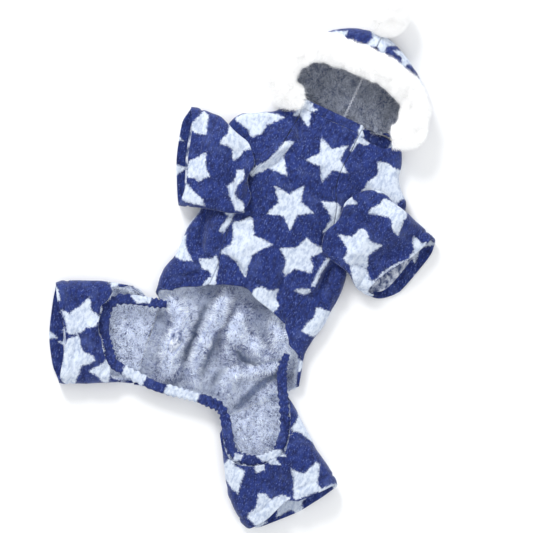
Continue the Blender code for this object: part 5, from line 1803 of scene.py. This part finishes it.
def make_elastic():
    """The gathered roll round the belly opening, with uneven gathers."""
    count = ELASTIC_STEPS
    flat = resample(elastic_path(tubes), count)
    level = SIDE_RADIUS * (1 - math.cos(math.pi * CROTCH_TURN)) + ELASTIC_HEIGHT / 2 + SEAM_GAP
    path = np.column_stack([flat, np.full(count, level)])
    walked = np.concatenate([[0], np.cumsum(np.linalg.norm(np.diff(flat, axis=0), axis=1))])
    wave = walked / (0.62 * ELASTIC_GATHER) + 0.6 * np.sin(walked / 0.017)

    def ring(index, angle):
        phase = wave[index] * math.pi
        depth = (0.16 + 0.12 * noise(path, 0.016, 7))[index]
        gather = 1 - depth * np.sin(phase) ** 2 + 0.09 * np.sin(2.3 * phase + 2 * angle)
        gather = gather + (0.10 * noise(path, 0.009, 9))[index] - 0.08
        end = np.minimum(index, count - 1 - index) / 8
        taper = np.minimum(1.0, 0.6 + 0.2 * end)
        pinch = 1 - 0.30 * np.exp(-(((np.abs(np.cos(angle)) - 0.05) / 0.25) ** 2))
        size = gather * taper
        return ELASTIC_WIDTH / 2 * size * np.cos(angle), ELASTIC_HEIGHT / 2 * size * pinch * np.sin(angle)

    points = sweep_points(path, ring, ELASTIC_SIDES)
    normal = grid_normals(points, True)
    if (normal[:, 6, 2] < 0).mean() > 0.5:
        normal = -normal
    faces = quads(count, ELASTIC_SIDES, True)
    flat_points = points.reshape(-1, 3) + SHIFT
    made = mesh_from("belly_elastic_gathers", flat_points, faces, [VELOUR])
    add_print(made, star_print(flat_points, normal.reshape(-1, 3), "elastic"))
    return made


finish_piece(make_elastic(), "belly_elastic")


def resample3(path, count):
    """Even steps along the straight pieces of a path."""
    steps = np.linalg.norm(np.diff(path, axis=0), axis=1)
    lengths = np.concatenate([[0], np.cumsum(steps)])
    at = np.linspace(0, lengths[-1], count)
    return np.stack([np.interp(at, lengths, path[:, axis]) for axis in range(3)], axis=-1)


def make_trim():
    """The backing of the fur roll round the hood's mouth."""
    count = TRIM_STEPS
    path = resample3(trim_path(), count)

    def ring(index, angle):
        end = np.minimum(index, count - 1 - index) / 5
        taper = np.minimum(1.0, 0.70 + 0.10 * end)
        radius = 0.90 * TRIM_RADIUS * taper
        return radius * np.cos(angle), radius * 0.92 * np.sin(angle)

    points = sweep_points(path, ring, TRIM_SIDES)
    outward = points - path[:, None]
    outward /= np.linalg.norm(outward, axis=-1, keepdims=True)
    points = points + outward * (0.0012 * fractal(points, 0.009, 61, 2))[..., None]
    start = points[:1].mean(axis=1, keepdims=True).repeat(TRIM_SIDES, axis=1)
    end = points[-1:].mean(axis=1, keepdims=True).repeat(TRIM_SIDES, axis=1)
    points = np.concatenate([start, points, end])
    faces = quads(count + 2, TRIM_SIDES, True)
    flat_points = points.reshape(-1, 3) + SHIFT
    made = mesh_from("hood_fur_trim_backing", flat_points, faces, [FUR_BASE])
    return made, flat_points, faces


def outward_faces(points, faces, middle):
    """Faces turned so that their normals point away from the nearest of some middle points."""
    corner = points[faces]
    cross = np.cross(corner[:, 1] - corner[:, 0], corner[:, 2] - corner[:, 0])
    away = corner.mean(axis=1)
    nearest = middle[((away[:, None] - middle[None]) ** 2).sum(axis=2).argmin(axis=1)]
    flip = (cross * (away - nearest)).sum(axis=1) < 0
    faces = faces.copy()
    faces[flip] = faces[flip][:, ::-1]
    return faces


trim, trim_points, trim_faces = make_trim()
finish_piece(trim, "hood_fur_trim")
trim_middle = resample3(trim_path(), 60) + SHIFT
trim_faces = outward_faces(trim_points, trim_faces, trim_middle)
place, normal, rng = scatter(trim_points, trim_faces, TRIM_COUNT, 71)
own = rng.random(TRIM_COUNT)
direction = clumped(place, normal, rng, 0.9, 0.28, 0.009, 72)
length = TRIM_LENGTH[0] + TRIM_LENGTH[1] * rng.random(TRIM_COUNT)
length = length * (1 + 0.35 * noise(place, 0.010, 75))
width = 0.00022 + FUR_WIDTH * rng.random(TRIM_COUNT)
trim_fur = strands(
    "hood_fur_trim_strands",
    place,
    direction,
    length,
    width,
    own,
    FUR_STRANDS,
    normal,
)
finish_piece(trim_fur)


def make_pompom_pieces():
    """The pompom's core, in the middle of its CAD box, and its strands."""
    low, high = (np.array(corner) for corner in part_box("pompom"))
    middle = (low + high) / 2
    radius = (high - low).min() / 2
    bpy.ops.mesh.primitive_ico_sphere_add(subdivisions=5, radius=1.0)
    ball = bpy.context.object
    points = np.array([vert.co for vert in ball.data.vertices])
    faces = np.array([tuple(face.vertices) for face in ball.data.polygons])
    bpy.data.objects.remove(ball, do_unlink=True)
    shape = points * (POMPOM_CORE * radius) * (1 + 0.06 * fractal(points, 0.5, 81, 2))[:, None] + middle
    base = mesh_from("pompom_core", shape, faces, [FUR_BASE])
    place, normal, rng = scatter(shape, faces, POMPOM_COUNT, 82)
    direction = clumped(place, normal, rng, 0.55, 0.20, 0.008, 83)
    length = radius * (POMPOM_LENGTH[0] + POMPOM_LENGTH[1] * rng.random(POMPOM_COUNT))
    width = 0.00025 + FUR_WIDTH * rng.random(POMPOM_COUNT)
    own = rng.random(POMPOM_COUNT)
    hairs = strands(
        "pompom_strands",
        place,
        direction,
        length,
        width,
        own,
        FUR_STRANDS,
        normal,
    )
    return base, hairs


pompom, pompom_fur = make_pompom_pieces()
finish_piece(pompom, "pompom")
finish_piece(pompom_fur)


def pile(name, sheet, amount, seed, chosen, material, creases=()):
    """Strands over the chosen faces of a sheet's inside. amount is their number and length."""
    points, faces = sheet
    count, length = amount
    place, normal, rng = scatter(points, faces, count, seed, chosen(points[faces].mean(axis=1)))
    direction = clumped(place, normal, rng, PILE_LEAN, PILE_SPREAD, PILE_CLUMP, seed + 1)
    lengths = length * (0.6 + 0.6 * rng.random(count))
    lengths = lengths * (1 + 0.3 * noise(place, PILE_CLUMP, seed + 4))
    own = rng.random(count)
    painted_shade_and_patches = np.zeros(count)
    # Painted shade: strands low in the creases' valleys get a darker tone and those on ridges a paler one,
    # with random patches on top. More strands on the slopes take the navy streak colour.
    if creases:
        lift = line_folds((place[:, :2] - SHIFT[:2]) / MM - CHART, creases) / MM
        patch = np.clip(0.5 + 0.8 * noise(place, 0.024, seed + 6), 0, 1)
        painted_shade_and_patches = np.clip(0.46 - 0.26 * lift + 0.30 * (patch - 0.5), 0.0, 0.9)
        slope = np.clip(1.2 - np.abs(lift - 1.0), 0, 1) * patch
        own = np.where(rng.random(count) < 0.42 * slope, 0.99, own)
    widths = PILE_WIDTH[0] + PILE_WIDTH[1] * rng.random(count)
    made = strands(name, place, direction, lengths, widths, own, material, normal, painted_shade_and_patches)
    return finish_piece(made)


def in_rump(middle):
    """1 for faces on the rump's floor."""
    flat = (middle[:, :2] - SHIFT[:2]) / MM - CHART
    return ((flat[:, 1] < RUMP_TOP) & (middle[:, 2] < RUMP_HEIGHT)).astype(float)


def before_hem(middle):
    """Leaves out the last rows, which are the turned-in hem."""
    share = np.arange(len(middle)) / len(middle)
    return (share < PILE_ENDS).astype(float)


def all_over(middle):
    return np.ones(len(middle))


pile("back_panel_pile", back_inside, RUMP_PILE, 91, in_rump, PILE_STRANDS, RUMP_CREASES)
for node, seed in (("hind_leg_left", 95), ("hind_leg_right", 99)):
    pile(node + "_pile", tube_insides[node], LEG_PILE, seed, before_hem, PILE_STRANDS)
for node, seed in (("hood_right_panel", 103), ("hood_left_panel", 107)):
    pile(node + "_pile", hood_insides[node], HOOD_PILE, seed, all_over, LINING_STRANDS)


def stitches(name, segments, radius):
    """Short rounded threads, one for each start and end."""
    points, faces = [], []
    for start, end in segments:
        along = end - start
        along = along / np.linalg.norm(along)
        side = np.cross(along, (0, 0, 1))
        side /= np.linalg.norm(side)
        up = np.cross(side, along)
        first = len(points)
        for t, share in ((0.0, 0.4), (0.2, 1.0), (0.8, 1.0), (1.0, 0.4)):
            for turn in range(6):
                angle = turn * math.pi / 3
                out = side * math.cos(angle) + up * math.sin(angle)
                points.append(start + t * (end - start) + radius * share * out)
        for ring in range(3):
            for turn in range(6):
                a = first + ring * 6 + turn
                b = first + ring * 6 + (turn + 1) % 6
                faces.append((a, b, b + 6, a + 6))
    return finish_piece(mesh_from(name, np.array(points) + SHIFT, np.array(faces), [THREAD]))


# The hood's centre seam, sewn in a zigzag just over the lining's pile
STITCHES = 26
STITCH_START = 0.0010
STITCH_PITCH = 0.0016
STITCH_REACH = 0.0013
STITCH_HEIGHT = 0.0052
STITCH_RADIUS = 0.00035
zigzag = []
for step in range(STITCHES):
    y = BODICE_LENGTH + STITCH_START + STITCH_PITCH * step
    side = STITCH_REACH * (1 if step % 2 else -1)
    start = np.array([hood_middle()[0] - side, y, STITCH_HEIGHT])
    end = np.array([hood_middle()[0] + side, y + STITCH_REACH, STITCH_HEIGHT])
    zigzag.append((start, end))
stitches("hood_seam_stitches", zigzag, STITCH_RADIUS)

# Floor, light and camera


FLOOR_REACH = 4.0
WORLD_COLOUR = (0.96, 0.98, 1.0, 1.0)
WORLD_STRENGTH = 0.85
# Lights. Columns: name, place, size, power.
LIGHTS = (
    ("key", (-1.2, 1.1, 1.3), 0.8, 30),
    ("fill", (1.2, -0.6, 1.8), 1.2, 8),
)


def make_floor():
    n = Nodes("floor")
    n.put(n.shader.inputs["Base Color"], n.mix(n.noise(3, 1.0), FLOOR_SHADE, FLOOR_WHITE))
    n.shader.inputs["Roughness"].default_value = 0.8
    corners = ((-1, -1, 0), (1, -1, 0), (1, 1, 0), (-1, 1, 0))
    points = FLOOR_REACH * np.array(corners, float)
    made = mesh_from("floor", points, np.array([[0, 1, 2, 3]]), [n.material])


def area_light(name, place, size, power):
    """A round light that faces the part."""
    data = bpy.data.lights.new(name, "AREA")
    data.shape = "DISK"
    data.size = size
    data.energy = power
    made = bpy.data.objects.new(name, data)
    bpy.context.scene.collection.objects.link(made)
    made.location = place
    made.rotation_mode = "QUATERNION"
    made.rotation_quaternion = (-Vector(place)).to_track_quat("-Z", "Y")
    return made


make_floor()
world = bpy.data.worlds.new("studio")
bpy.context.scene.world = world
world.use_nodes = True
world.node_tree.nodes["Background"].inputs["Color"].default_value = WORLD_COLOUR
world.node_tree.nodes["Background"].inputs["Strength"].default_value = WORLD_STRENGTH
for light in LIGHTS:
    area_light(*light)

CAMERA_HEIGHT = 4.0
VIEW_WIDTH = 0.533
# Middle of the picture in the body's axes, and the camera's turn in degrees
VIEW_MIDDLE = (0.0065, 0.0321)
VIEW_TURN = 25.0
SENSOR_WIDTH = 36.0
MIDDLE_HEIGHT = 0.018
camera_data = bpy.data.cameras.new("camera")
camera_data.lens = SENSOR_WIDTH * (CAMERA_HEIGHT - MIDDLE_HEIGHT) / VIEW_WIDTH
camera_data.sensor_width = SENSOR_WIDTH
camera_data.clip_end = 20.0
camera = bpy.data.objects.new("camera", camera_data)
bpy.context.scene.collection.objects.link(camera)
camera.location = (VIEW_MIDDLE[0] + SHIFT[0], VIEW_MIDDLE[1] + SHIFT[1], CAMERA_HEIGHT)
camera.rotation_euler = (0, 0, math.radians(VIEW_TURN))
bpy.context.scene.camera = camera
bpy.context.scene.view_settings.view_transform = "Standard"
